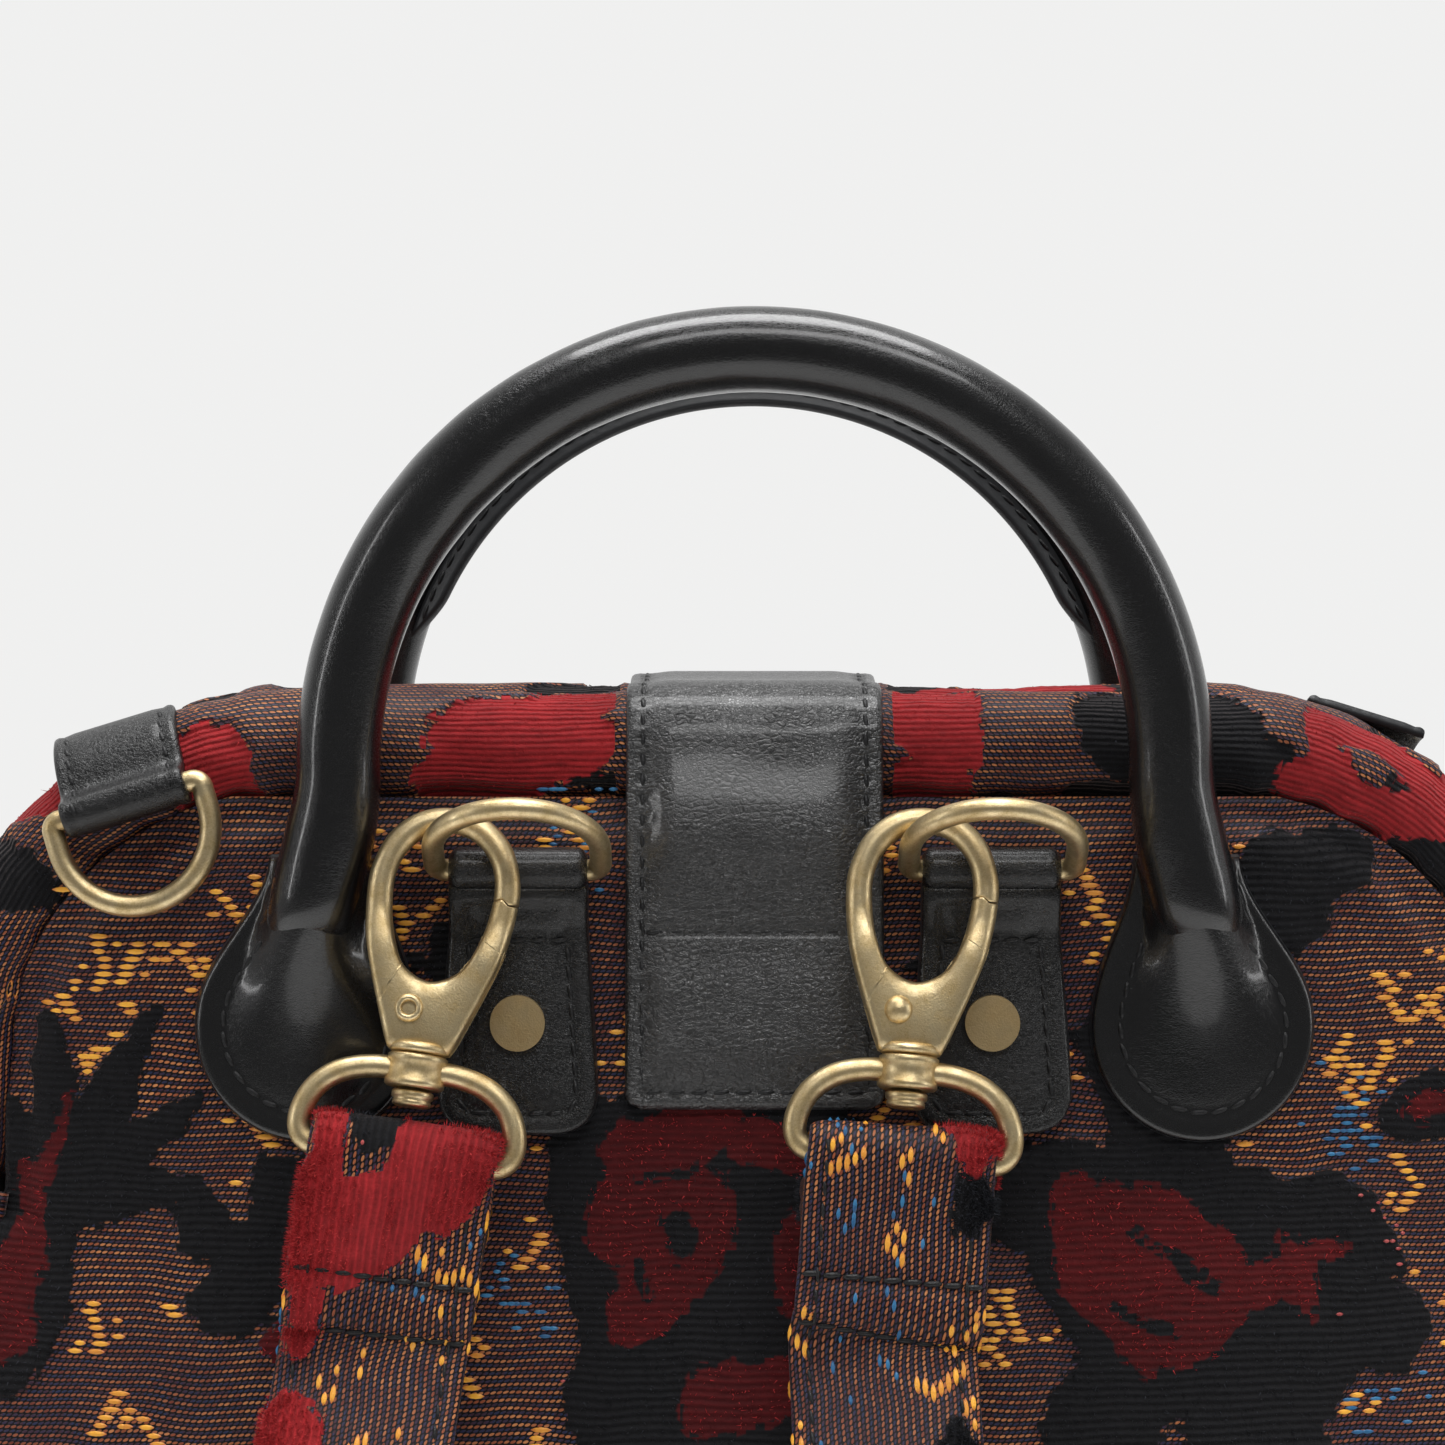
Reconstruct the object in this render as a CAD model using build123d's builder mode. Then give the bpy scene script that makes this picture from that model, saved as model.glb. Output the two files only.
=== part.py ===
from build123d import *

import os
from math import cos, radians, sin, sqrt

# A carpet bag backpack with a hinged steel mouth. Millimetres. The bag stands on the XY plane,
# the shoulder straps are on the -Y side and the mouth opens towards +Y.

# Mouth frame: two steel hoops side by side, each in a roll of padded cloth
mouth_half_w = 150
roll_r = 12
roll_z = 298
roll_gap = 0.4
corner_r = 68
pivot_z = 222
bar_r = 2.5
bar_gap = 0.1
lug_t = 2
lug_gap = 0.4
lug_r = 6
hinge_pin_r = 2
hinge_fit = 0.05
hinge_head_r = 3.6
hinge_head_t = 1.2
lug_top_up = 16
lug_room = 1.5
mouth_opens = 55

# Bag body
base_half_w = mouth_half_w - 12
base_half_d = 62
belly_half_w = mouth_half_w + 8
belly_half_d = 73
shoulder_half_d = 57
pivot_half_d = 40
upper_half_d = 31
base_t = 3
cloth_t = 2.4
lining_gap = 0.3
lining_t = 0.8
lining_margin = 4
board_t = 3
board_margin = 6
fold_z = 180
panel_tuck = 6
swing_gap = 0.8
pleat_t = 2
pleat_depth = 22

# Rolled handles
handle_r = 7.4
handle_core_r = 5.5
handle_core_gap = 0.1
handle_arch_r = 72
handle_arch_z = 297
handle_clear = 0.6
patch_w = 39
patch_bottom = 232
patch_top = 281
patch_x = 78
patch_t = 2.6
flange_w = 5
flange_t = 2.6

# Closure strap
closure_w = 45
closure_t = 2.8
closure_bottom = 238
closure_drop = 41
closure_reach = 27
closure_splay = 9
closure_bend_r = 9
closure_rise = 0.5
hinge_slit = 0.3
magnet_r = 9
magnet_t = 2.2
magnet_gap = 1.0
magnet_z = 279

# Ring tabs on the back, their rings and the snap hooks
ring_x = 41
ring_wire_r = 1.9
ring_half_w = 14.4
ring_h = 22
ring_bar_z = 279
ring_leans = {"left": 56, "right": 56}
tab_w = 24
tab_foot_w = 28.5
tab_bottom = 234
tab_t = 4.2
leather_t = 2
ring_fit = 0.15
rivet_z = 253
rivet_cap_r = 4.75
rivet_cap_t = 1.4
rivet_stem_r = 1.8
rivet_washer_t = 1
rivet_margin = 1.6

# Snap hooks, drawn in their own plane: u across, v up, v = 0 level with the ring's bar
hook_shift = -12
hook_clear = 0.4
hook_wire_r = 2.25
hook_half_w = 10.75
hook_arch_v = -1.5
hook_tilt = 14
hook_rolls = {"left": 8, "right": 5}
jaw_top_v = -16.5
jaw_bottom_v = -31
jaw_half_t = 3.4
jaw_slot = 3.0
gate_room = 4.2
gate_boss_r = 3
gate_wire_r = 2.1
gate_lug_t = 2.6
gate_pivot = (-2.6, -24)
gate_split_r = 24.3
gate_split_gap = 0.3
gate_pin_r = 1.25
gate_fit = 0.05
gate_pin_head_r = 2.2
gate_pin_head_t = 0.6
post_r = 2.6
post_fit = 0.08
barrel_r = 5
barrel_l = 6
barrel_play = 0.3
washer_t = 1.2
post_head_r = 3.6
post_head_t = 1.6
eye_wire_r = 1.9
eye_half_w = 18.4
eye_drop = 14.5

# Shoulder straps
strap_w = 32
strap_t = 3.8
strap_fit = 0.25
loop_l = 27
loop_t = 8
strap_gap = 0.4
lower_x = base_half_w - 34
lower_z = 20
lower_ring_l = 15
lower_tab_w = 30
lower_tab_top = 44
lower_loop_l = 24
strap_drifts = {"left": (0.16, 0.42, 0.7, 0.93), "right": (0.04, 0.28, 0.62, 0.92)}

# Side rings on the mouth rolls
side_ring_run = 27.6
side_ring_tilt = 17
side_ring_lean = 7
side_ring_half_w = 13.6
side_ring_h = 18.5
side_tab_w = 22.4
side_tab_t = 2.2
side_tab_h = 20

roll_y = roll_r + roll_gap / 2
arm_x = mouth_half_w - roll_r
arm_bend_r = corner_r - roll_r
mouth_half_d = roll_y + roll_r + 0.4
far = 400


def bag_stations():
    """Rows of height, half width, half depth, bulge of the side and bulge of the face."""
    return [
        (base_t, base_half_w, base_half_d, 6, 6),
        (40, base_half_w + 14, belly_half_d - 2, 6.5, 11),
        (100, belly_half_w, belly_half_d, 8, 16),
        (165, belly_half_w - 2, shoulder_half_d, 11, 15),
        (pivot_z, mouth_half_w, pivot_half_d, 16, 14.5),
        (262, mouth_half_w, upper_half_d, 20, 6.6),
        (roll_z, mouth_half_w, mouth_half_d, 20, 0.2),
    ]


def bag_form(inset):
    """The filled shape of the bag, set in from its outside all round."""
    with BuildPart() as form:
        for height, half_w, half_d, side_bulge, face_bulge in bag_stations():
            side_x = half_w - inset
            face_y = half_d - inset
            seam_x = side_x - side_bulge
            seam_y = face_y - face_bulge
            with BuildSketch(Plane.XY.offset(height)):
                with BuildLine():
                    ThreePointArc((-seam_x, -seam_y), (0, -face_y), (seam_x, -seam_y))
                    ThreePointArc((seam_x, -seam_y), (side_x, 0), (seam_x, seam_y))
                    ThreePointArc((seam_x, seam_y), (0, face_y), (-seam_x, seam_y))
                    ThreePointArc((-seam_x, seam_y), (-side_x, 0), (-seam_x, -seam_y))
                make_face()
        loft()
    return form.part


def frame_hoop(radius, end_z):
    """A round bar along the back hoop of the mouth, down to the given height on both arms."""
    with BuildPart() as hoop:
        with BuildLine(Plane.XZ.offset(roll_y)) as path:
            FilletPolyline(
                (-arm_x, end_z), (-arm_x, roll_z), (arm_x, roll_z), (arm_x, end_z), radius=arm_bend_r
            )
        with BuildSketch(Plane(origin=path.line @ 0, z_dir=path.line % 0)):
            Circle(radius)
        sweep()
    return hoop.part


def seam_zone():
    """Everything behind the two back seams."""
    with BuildPart() as zone:
        with BuildSketch(Plane.YZ):
            with BuildLine():
                rows = bag_stations()
                seam = Spline(*[(face_bulge - half_d, z) for z, _, half_d, _, face_bulge in rows])
                Polyline(seam @ 1, (-far, rows[-1][0]), (-far, rows[0][0]), seam @ 0)
            make_face()
        extrude(amount=far, both=True)
    return zone.part


def mouth_outline():
    """The outline of a panel seen from the back: full width up to the hinge, then inside the roll."""
    with BuildPart() as outline:
        with BuildSketch(Plane.XZ):
            with Locations((0, pivot_z / 2)):
                Rectangle(2 * far, pivot_z)
            with BuildLine():
                half = arm_x - panel_tuck
                FilletPolyline(
                    (-half, pivot_z - 1),
                    (-half, roll_z - panel_tuck),
                    (half, roll_z - panel_tuck),
                    (half, pivot_z - 1),
                    radius=arm_bend_r - panel_tuck,
                )
                Line((half, pivot_z - 1), (-half, pivot_z - 1))
            make_face()
        extrude(amount=far, both=True)
    return outline.part


bag_outer = bag_form(0)
bag_inner = bag_form(cloth_t)
lining_outer = bag_form(cloth_t + lining_gap)
lining_inner = bag_form(cloth_t + lining_gap + lining_t)
patch_outer = bag_form(-patch_t)
closure_outer = bag_form(-closure_t)
tab_outer = bag_form(-tab_t)
rivet_outer = bag_form(-tab_t - rivet_cap_t)
roll_solid = frame_hoop(roll_r, pivot_z)
back_zone = seam_zone()
panel_outline = mouth_outline()


def round_prism(x, z, radius):
    """A straight round prism through the back half of the bag."""
    with BuildPart() as prism:
        with BuildSketch(Plane.XZ):
            with Locations((x, z)):
                Circle(radius)
        extrude(amount=far)
    return prism.part


def turned(shape):
    """The same piece on the other side: half a turn about the upright axis."""
    return Rot(0, 0, 180) * shape


# Holes for the tab rivets
rivet_holes = [round_prism(side * ring_x, rivet_z, rivet_stem_r) for side in (-1, 1)]

# Cloth panels, the front one held as two nodes where it folds as the mouth opens
with BuildPart() as panel_blank:
    add(bag_outer)
    add(bag_inner, mode=Mode.SUBTRACT)
    add(back_zone, mode=Mode.INTERSECT)
    add(panel_outline, mode=Mode.INTERSECT)
    add(roll_solid, mode=Mode.SUBTRACT)

with BuildPart() as front_panel_lower:
    add(turned(panel_blank.part))
    split(bisect_by=Plane.XY.offset(fold_z), keep=Keep.BOTTOM)

with BuildPart() as front_panel_upper:
    add(turned(panel_blank.part))
    split(bisect_by=Plane.XY.offset(fold_z), keep=Keep.TOP)

with BuildPart() as back_panel:
    add(panel_blank.part)
    add(rivet_holes, mode=Mode.SUBTRACT)

# Side gussets, notched where the front arm of the frame swings down
with BuildPart() as gusset_blank:
    add(bag_outer)
    add(bag_inner, mode=Mode.SUBTRACT)
    add(back_zone, mode=Mode.SUBTRACT)
    add(turned(back_zone), mode=Mode.SUBTRACT)
    split(bisect_by=Plane.YZ, keep=Keep.TOP)
    split(bisect_by=Plane.XY.offset(pivot_z), keep=Keep.BOTTOM)

with BuildPart() as swing_room:
    with BuildSketch(Plane.YZ):
        with BuildLine():
            swing_r = roll_y + roll_r + swing_gap
            arc = CenterArc((0, pivot_z), swing_r, 270, 90 - mouth_opens)
            edge = Line(arc @ 1, arc @ 1 + (arc % 1) * 2 * swing_r)
            Polyline(edge @ 1, (0, (edge @ 1).Y), arc @ 0)
        make_face()
    extrude(amount=far, both=True)

with BuildPart() as right_gusset:
    add(gusset_blank.part)
    add(swing_room.part, mode=Mode.SUBTRACT)

with BuildPart() as left_gusset:
    add(turned(gusset_blank.part))
    add(swing_room.part, mode=Mode.SUBTRACT)

# Pleats: the top of each gusset, folded inwards between the two arms of the frame
pleat_top = roll_z - 18
pleat_out = arm_x - roll_r + 1
with BuildPart() as right_pleat:
    with BuildSketch(Plane.XZ):
        with BuildLine():
            Polyline(
                (pleat_out + 20, pivot_z - 22),
                (pleat_out + 20, pivot_z - 9),
                (pleat_out + 4, pivot_z - 9),
                (pleat_out, pivot_z),
                (pleat_out, pleat_top - 24),
                (pleat_out - pleat_depth, pleat_top - 30),
                (pleat_out - pleat_depth, pivot_z - 10),
                close=True,
            )
        make_face()
    extrude(amount=pleat_t / 2, both=True)

left_pleat = turned(right_pleat.part)

# Lining, cut like the cloth, and its front top part that moves with the mouth
with BuildPart() as lining_shell:
    add(lining_outer)
    add(lining_inner, mode=Mode.SUBTRACT)

with BuildPart() as lining_front_room:
    with BuildSketch(Plane.YZ):
        with Locations((far / 2, fold_z + far / 2)):
            Rectangle(far, far)
    extrude(amount=far, both=True)

lining_half = arm_x - roll_r - lining_margin
lining_top = roll_z - roll_r - lining_margin
with BuildPart() as lining_outline:
    with BuildSketch(Plane.XZ):
        with Locations((0, fold_z / 2)):
            Rectangle(2 * far, fold_z)
        with BuildLine():
            FilletPolyline(
                (-lining_half, fold_z - 1),
                (-lining_half, lining_top),
                (lining_half, lining_top),
                (lining_half, fold_z - 1),
                radius=arm_bend_r - roll_r - lining_margin,
            )
            Line((lining_half, fold_z - 1), (-lining_half, fold_z - 1))
        make_face()
    extrude(amount=far, both=True)

with BuildPart() as lining:
    add(lining_shell.part)
    add(lining_outline.part, mode=Mode.INTERSECT)
    add(lining_front_room.part, mode=Mode.SUBTRACT)
    add(rivet_holes, mode=Mode.SUBTRACT)

with BuildPart() as front_lining:
    add(lining_shell.part)
    add(lining_outline.part, mode=Mode.INTERSECT)
    add(lining_front_room.part, mode=Mode.INTERSECT)
    split(bisect_by=Plane.XZ.offset(-pleat_t), keep=Keep.BOTTOM)


def base_plate(half_w, half_d, side_bulge, face_bulge, low_z, thickness):
    """A flat plate with the outline of the bag's base."""
    with BuildPart() as plate:
        seam_x = half_w - side_bulge
        seam_y = half_d - face_bulge
        with BuildSketch(Plane.XY.offset(low_z)):
            with BuildLine():
                ThreePointArc((-seam_x, -seam_y), (0, -half_d), (seam_x, -seam_y))
                ThreePointArc((seam_x, -seam_y), (half_w, 0), (seam_x, seam_y))
                ThreePointArc((seam_x, seam_y), (0, half_d), (-seam_x, seam_y))
                ThreePointArc((-seam_x, seam_y), (-half_w, 0), (-seam_x, -seam_y))
            make_face()
        extrude(amount=thickness)
    return plate.part


# Base: leather outside, stiff board inside
base_panel = base_plate(base_half_w, base_half_d, 6, 6, 0, base_t)
board_half_w = base_half_w - board_margin
board_half_d = base_half_d - board_margin
base_board = base_plate(board_half_w, board_half_d, 6, 6, base_t, board_t)

# Steel mouth frame: one hoop with a flat lug at the foot of each arm, for the back and the front
lug_top = pivot_z + lug_top_up


def frame_bar(lug_out, hole_r):
    """The back hoop with its lugs, lug_out being how far each lug's inner face is from the bar."""
    with BuildPart() as bar:
        add(frame_hoop(bar_r, lug_top))
        for side in (-1, 1):
            with BuildSketch(Plane.YZ.offset(side * (arm_x + lug_out))) as lug:
                with Locations((0, pivot_z)):
                    Circle(lug_r)
                with Locations((-roll_y, lug_top)):
                    Circle(lug_r - 1)
                make_hull()
            extrude(amount=side * lug_t)
            with BuildSketch(Plane.YZ):
                with Locations((0, pivot_z)):
                    Circle(hole_r)
            extrude(amount=far, both=True, mode=Mode.SUBTRACT)
    return bar.part


back_frame_bar = frame_bar(lug_gap / 2, hinge_pin_r)
front_frame_bar = turned(frame_bar(-lug_gap / 2 - lug_t, hinge_pin_r + hinge_fit))

with BuildPart() as frame_rivets:
    for side in (-1, 1):
        inner = arm_x - lug_gap / 2 - lug_t - hinge_fit
        outer = arm_x + lug_gap / 2 + lug_t
        with BuildSketch(Plane.YZ.offset(side * (inner - hinge_head_t))):
            with Locations((0, pivot_z)):
                Circle(hinge_head_r)
        extrude(amount=side * hinge_head_t)
        with BuildSketch(Plane.YZ.offset(side * inner)):
            with Locations((0, pivot_z)):
                Circle(hinge_pin_r)
        extrude(amount=side * (outer - inner))
        with BuildSketch(Plane.YZ.offset(side * outer)):
            with Locations((0, pivot_z)):
                Circle(hinge_head_r)
        extrude(amount=side * hinge_head_t)

# Padded cloth rolls round the hoops, with room for the lugs and the hinge
with BuildPart() as back_roll:
    add(roll_solid)
    add(frame_hoop(bar_r + bar_gap, pivot_z), mode=Mode.SUBTRACT)
    for side in (-1, 1):
        with BuildSketch(Plane.YZ.offset(side * (arm_x - 5))) as room:
            with Locations((0, pivot_z)):
                Circle(lug_r + lug_room)
            with Locations((-roll_y, lug_top)):
                Circle(lug_r - 1 + lug_room)
            make_hull()
        extrude(amount=side * 10, mode=Mode.SUBTRACT)

front_roll = turned(back_roll.part)


# Rolled handles: tube, inward seam flange, and legs that flare into a sewn patch
handle_y = mouth_half_d + handle_r + handle_clear
handle_knee_x = handle_arch_r + 1.2
handle_knee_z = handle_arch_z - 8
leg_z = handle_knee_z - 9
leg_x = handle_knee_x + 2.8
flare_z = leg_z - 9
flare_foot_z = leg_z - 23
flare_mid_y = handle_y - 0.8
flare_foot_y = handle_y - 1.4


def handle_path_tube(radius, leg_end_z):
    """A round rod along the handle's arch and down its two legs."""
    with BuildPart() as tube:
        with BuildLine(Plane.XZ.offset(handle_y)) as path:
            arch = CenterArc((0, handle_arch_z), handle_arch_r, 0, 180)
            left_bend = TangentArc(arch @ 1, (-handle_knee_x, handle_knee_z), tangent=arch % 1)
            left_leg = Line(left_bend @ 1, (-leg_x, leg_end_z))
            right_bend = TangentArc(arch @ 0, (handle_knee_x, handle_knee_z), tangent=-(arch % 0))
            Line(right_bend @ 1, (leg_x, leg_end_z))
        with BuildSketch(Plane(origin=left_leg @ 1, z_dir=-(left_leg % 1))):
            Circle(radius)
        sweep()
    return tube.part


def handle_patch(side):
    """The teardrop patch under one leg, lying on the panel."""
    with BuildPart() as patch:
        add(patch_outer)
        with BuildSketch(Plane.XZ):
            with BuildLine():
                half = patch_w / 2
                round_z = patch_bottom + half
                left, right = side * patch_x - half, side * patch_x + half
                neck = handle_r + 1.5
                CenterArc((side * patch_x, round_z), half, 180, 180)
                Spline(
                    (right, round_z),
                    (side * patch_x + neck, patch_top),
                    tangents=((0, 1), (-0.25, 1)),
                )
                Line((side * patch_x + neck, patch_top), (side * patch_x - neck, patch_top))
                Spline(
                    (side * patch_x - neck, patch_top),
                    (left, round_z),
                    tangents=((-0.25, -1), (0, -1)),
                )
            make_face()
        extrude(amount=far, mode=Mode.INTERSECT)
    return patch.part


handle_patches = [handle_patch(side) for side in (-1, 1)]
handle_tube = handle_path_tube(handle_r, leg_z)
handle_core_room = handle_path_tube(handle_core_r + handle_core_gap, leg_z - handle_core_gap)

with BuildPart() as back_handle_cover:
    add(handle_tube)
    with BuildSketch(Plane.XZ.offset(handle_y)):
        with Locations((0, handle_arch_z)):
            Circle(handle_arch_r - handle_r + 1)
            Circle(handle_arch_r - handle_r - flange_w, mode=Mode.SUBTRACT)
        with Locations((0, handle_arch_z - handle_arch_r)):
            Rectangle(3 * handle_arch_r, 2 * handle_arch_r, mode=Mode.SUBTRACT)
    extrude(amount=flange_t / 2, both=True)
    for side in (-1, 1):
        with BuildSketch(Plane.XY.offset(leg_z + 1)):
            with Locations((side * leg_x, -handle_y)):
                Circle(handle_r + 0.2)
        with BuildSketch(Plane.XY.offset(flare_z)):
            with Locations((side * patch_x, -flare_mid_y)):
                Ellipse(10.5, 5.6)
        with BuildSketch(Plane.XY.offset(flare_foot_z)):
            with Locations((side * patch_x, -flare_foot_y)):
                Ellipse(14, 2.6)
        loft()
    add(handle_patches)
    add(handle_core_room, mode=Mode.SUBTRACT)
    add(bag_outer, mode=Mode.SUBTRACT)

back_handle_core = handle_path_tube(handle_core_r, leg_z)
front_handle_cover = turned(back_handle_cover.part)
front_handle_core = turned(back_handle_core)

# Closure strap: a part sewn up the back and over the back roll, and a flap over the mouth
with BuildPart() as closure_strap_base:
    add(closure_outer)
    with BuildSketch(Plane.XZ):
        with Locations((0, (closure_bottom + roll_z) / 2)):
            Rectangle(closure_w, roll_z - closure_bottom)
    extrude(amount=far, mode=Mode.INTERSECT)
    add(bag_outer, mode=Mode.SUBTRACT)
    with BuildSketch(Plane.YZ.offset(-closure_w / 2)):
        with Locations((-roll_y, roll_z)):
            Circle(roll_r + closure_t)
            Circle(roll_r, mode=Mode.SUBTRACT)
            Rectangle(far, far, align=(Align.MAX, Align.MIN), mode=Mode.INTERSECT)
    extrude(amount=closure_w)

flap_z = roll_z + roll_r + closure_rise + closure_t / 2
tongue_z = flap_z - closure_drop
tongue_y = closure_reach + closure_splay
with BuildPart() as closure_flap:
    with BuildLine(Plane.YZ) as flap_path:
        FilletPolyline(
            (-roll_y + hinge_slit, flap_z), (closure_reach, flap_z), (tongue_y, tongue_z), radius=closure_bend_r
        )
    with BuildSketch(Plane(origin=flap_path.line @ 0, x_dir=(1, 0, 0), z_dir=flap_path.line % 0)):
        Rectangle(closure_w, closure_t)
    sweep()
    tongue_end = faces().sort_by(Axis.Z)[0]
    fillet(tongue_end.edges().group_by(SortBy.LENGTH)[0], closure_w / 4)

# Magnetic snap: one disc under the tongue, one on the front panel
tongue_in = Vector(0, -closure_drop, -closure_splay).normalized()
magnet_y = closure_reach + closure_splay * (flap_z - magnet_z) / closure_drop
magnet_origin = Vector(0, magnet_y, magnet_z) + tongue_in * (closure_t / 2)
magnet_plane = Plane(origin=magnet_origin, x_dir=(1, 0, 0), z_dir=tongue_in)
with BuildPart() as flap_magnet:
    with BuildSketch(magnet_plane):
        Circle(magnet_r)
    extrude(amount=magnet_t)

with BuildPart() as catch_magnet:
    with BuildSketch(magnet_plane.offset(magnet_t + magnet_gap)):
        Circle(magnet_r)
    extrude(amount=2 * magnet_r)
    add(bag_outer, mode=Mode.SUBTRACT)


def face_depth(x, z):
    """How far the bag's outside is from the middle plane, at a place on the back."""
    hits = bag_outer.find_intersection_points(Axis((x, -far, z), (0, 1, 0)))
    return max(-point.Y for point, _ in hits)


def d_loop(plane, half_w, height, corner_r, wire_r):
    """A wire ring with a straight bar on the plane's x axis and a round bow above it."""
    with BuildPart() as ring:
        with BuildLine(plane) as path:
            bar = Line((-half_w + corner_r, 0), (half_w - corner_r, 0))
            TangentArc(bar @ 1, (half_w, corner_r), tangent=bar % 1)
            Line((half_w, corner_r), (half_w, height - half_w))
            ThreePointArc((half_w, height - half_w), (0, height), (-half_w, height - half_w))
            left = Line((-half_w, height - half_w), (-half_w, corner_r))
            TangentArc(left @ 1, bar @ 0, tangent=left % 1)
        with BuildSketch(Plane(origin=bar @ 0, z_dir=bar % 0)):
            Circle(wire_r)
        sweep()
    return ring.part


# Leather tabs with a fold round a ring's bar
tab_loop_r = ring_wire_r + ring_fit + leather_t
tab_loop_gap = 0.4


def tab_bar_y(x, z):
    """Where the bar lies in front of the bag, so that the fold just clears the cloth."""
    return -(face_depth(x, z) + tab_loop_r + tab_loop_gap)


def leather_tab(x, bar_z, far_z, width, far_width):
    """A folded leather tab on the back, from the ring's bar to a rounded far end."""
    bar_y = tab_bar_y(x, bar_z)
    way = 1 if far_z > bar_z else -1
    neck_z = bar_z + way * 3 * tab_t
    low_z = far_z - way * 6
    with BuildPart() as tab:
        add(tab_outer)
        with BuildSketch(Plane.XZ):
            with BuildLine():
                half, far_half = width / 2, far_width / 2
                Polyline((x - far_half, low_z), (x - half, neck_z), (x + half, neck_z), (x + far_half, low_z))
                ThreePointArc((x - far_half, low_z), (x, far_z), (x + far_half, low_z))
            make_face()
        extrude(amount=far, mode=Mode.INTERSECT)
        with BuildSketch(Plane.YZ.offset(x)):
            with BuildLine():
                neck_y = -face_depth(x, neck_z)
                Polyline(
                    (bar_y - tab_loop_r, bar_z),
                    (bar_y + tab_loop_r, bar_z),
                    (neck_y + 1, neck_z),
                    (neck_y - tab_t, neck_z + way),
                    close=True,
                )
            make_face()
            with Locations((bar_y, bar_z)):
                Circle(tab_loop_r)
        extrude(amount=width / 2, both=True)
        add(bag_outer, mode=Mode.SUBTRACT)
        with BuildSketch(Plane.YZ.offset(x)):
            with Locations((bar_y, bar_z)):
                Circle(ring_wire_r + ring_fit)
        extrude(amount=width, both=True, mode=Mode.SUBTRACT)
    return tab.part


def ring_tab(side):
    """The tab of one strap ring, with its rivet hole."""
    blank = leather_tab(side * ring_x, ring_bar_z, tab_bottom, tab_w, tab_foot_w)
    with BuildPart() as tab:
        add(blank)
        add(rivet_holes, mode=Mode.SUBTRACT)
    return tab.part


# Rivets through the tabs and the back panel, each with a cap outside and a washer inside
rivet_y = face_depth(ring_x, rivet_z)
rivet_root = rivet_y - cloth_t - lining_gap - lining_t - rivet_margin
with BuildPart() as tab_rivets:
    add(rivet_outer)
    add(tab_outer, mode=Mode.SUBTRACT)
    with BuildSketch(Plane.XZ):
        with Locations((-ring_x, rivet_z), (ring_x, rivet_z)):
            Circle(rivet_cap_r)
    extrude(amount=far, mode=Mode.INTERSECT)
    with BuildSketch(Plane.XZ.offset(rivet_root)):
        with Locations((-ring_x, rivet_z), (ring_x, rivet_z)):
            Circle(rivet_stem_r)
    extrude(amount=rivet_y + tab_t + rivet_cap_t / 2 - rivet_root)
    with BuildSketch(Plane.XZ.offset(rivet_root - rivet_washer_t)):
        with Locations((-ring_x, rivet_z), (ring_x, rivet_z)):
            Circle(rivet_cap_r)
    extrude(amount=rivet_washer_t)

# Rings in the tabs, leaning out over the snap hooks
ring_bar_y = tab_bar_y(ring_x, ring_bar_z)


def strap_ring(side, lean):
    """The ring of one tab, its bow leaning out from the bag."""
    up = Vector(0, -sin(radians(lean)), cos(radians(lean)))
    plane = Plane(
        origin=(side * ring_x, ring_bar_y, ring_bar_z), x_dir=(1, 0, 0), z_dir=Vector(1, 0, 0).cross(up)
    )
    return d_loop(plane, ring_half_w, ring_h, 2.5, ring_wire_r)


def hook_plane(side, roll):
    """The plane of a snap hook, facing away from the bag: x across, y up."""
    origin = (side * ring_x + hook_shift, ring_bar_y - tab_loop_r - hook_clear - hook_wire_r, ring_bar_z)
    tilt = radians(hook_tilt)
    up = Vector(0, sin(tilt), cos(tilt))
    across = Vector(1, 0, 0) * cos(radians(roll)) - up * sin(radians(roll))
    return Plane(origin=origin, x_dir=across, z_dir=(0, -cos(tilt), sin(tilt)))


barrel_top_v = jaw_bottom_v - barrel_play
washer_v = barrel_top_v - barrel_l - barrel_play
eye_bar_v = barrel_top_v - barrel_l / 2 - eye_drop


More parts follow.
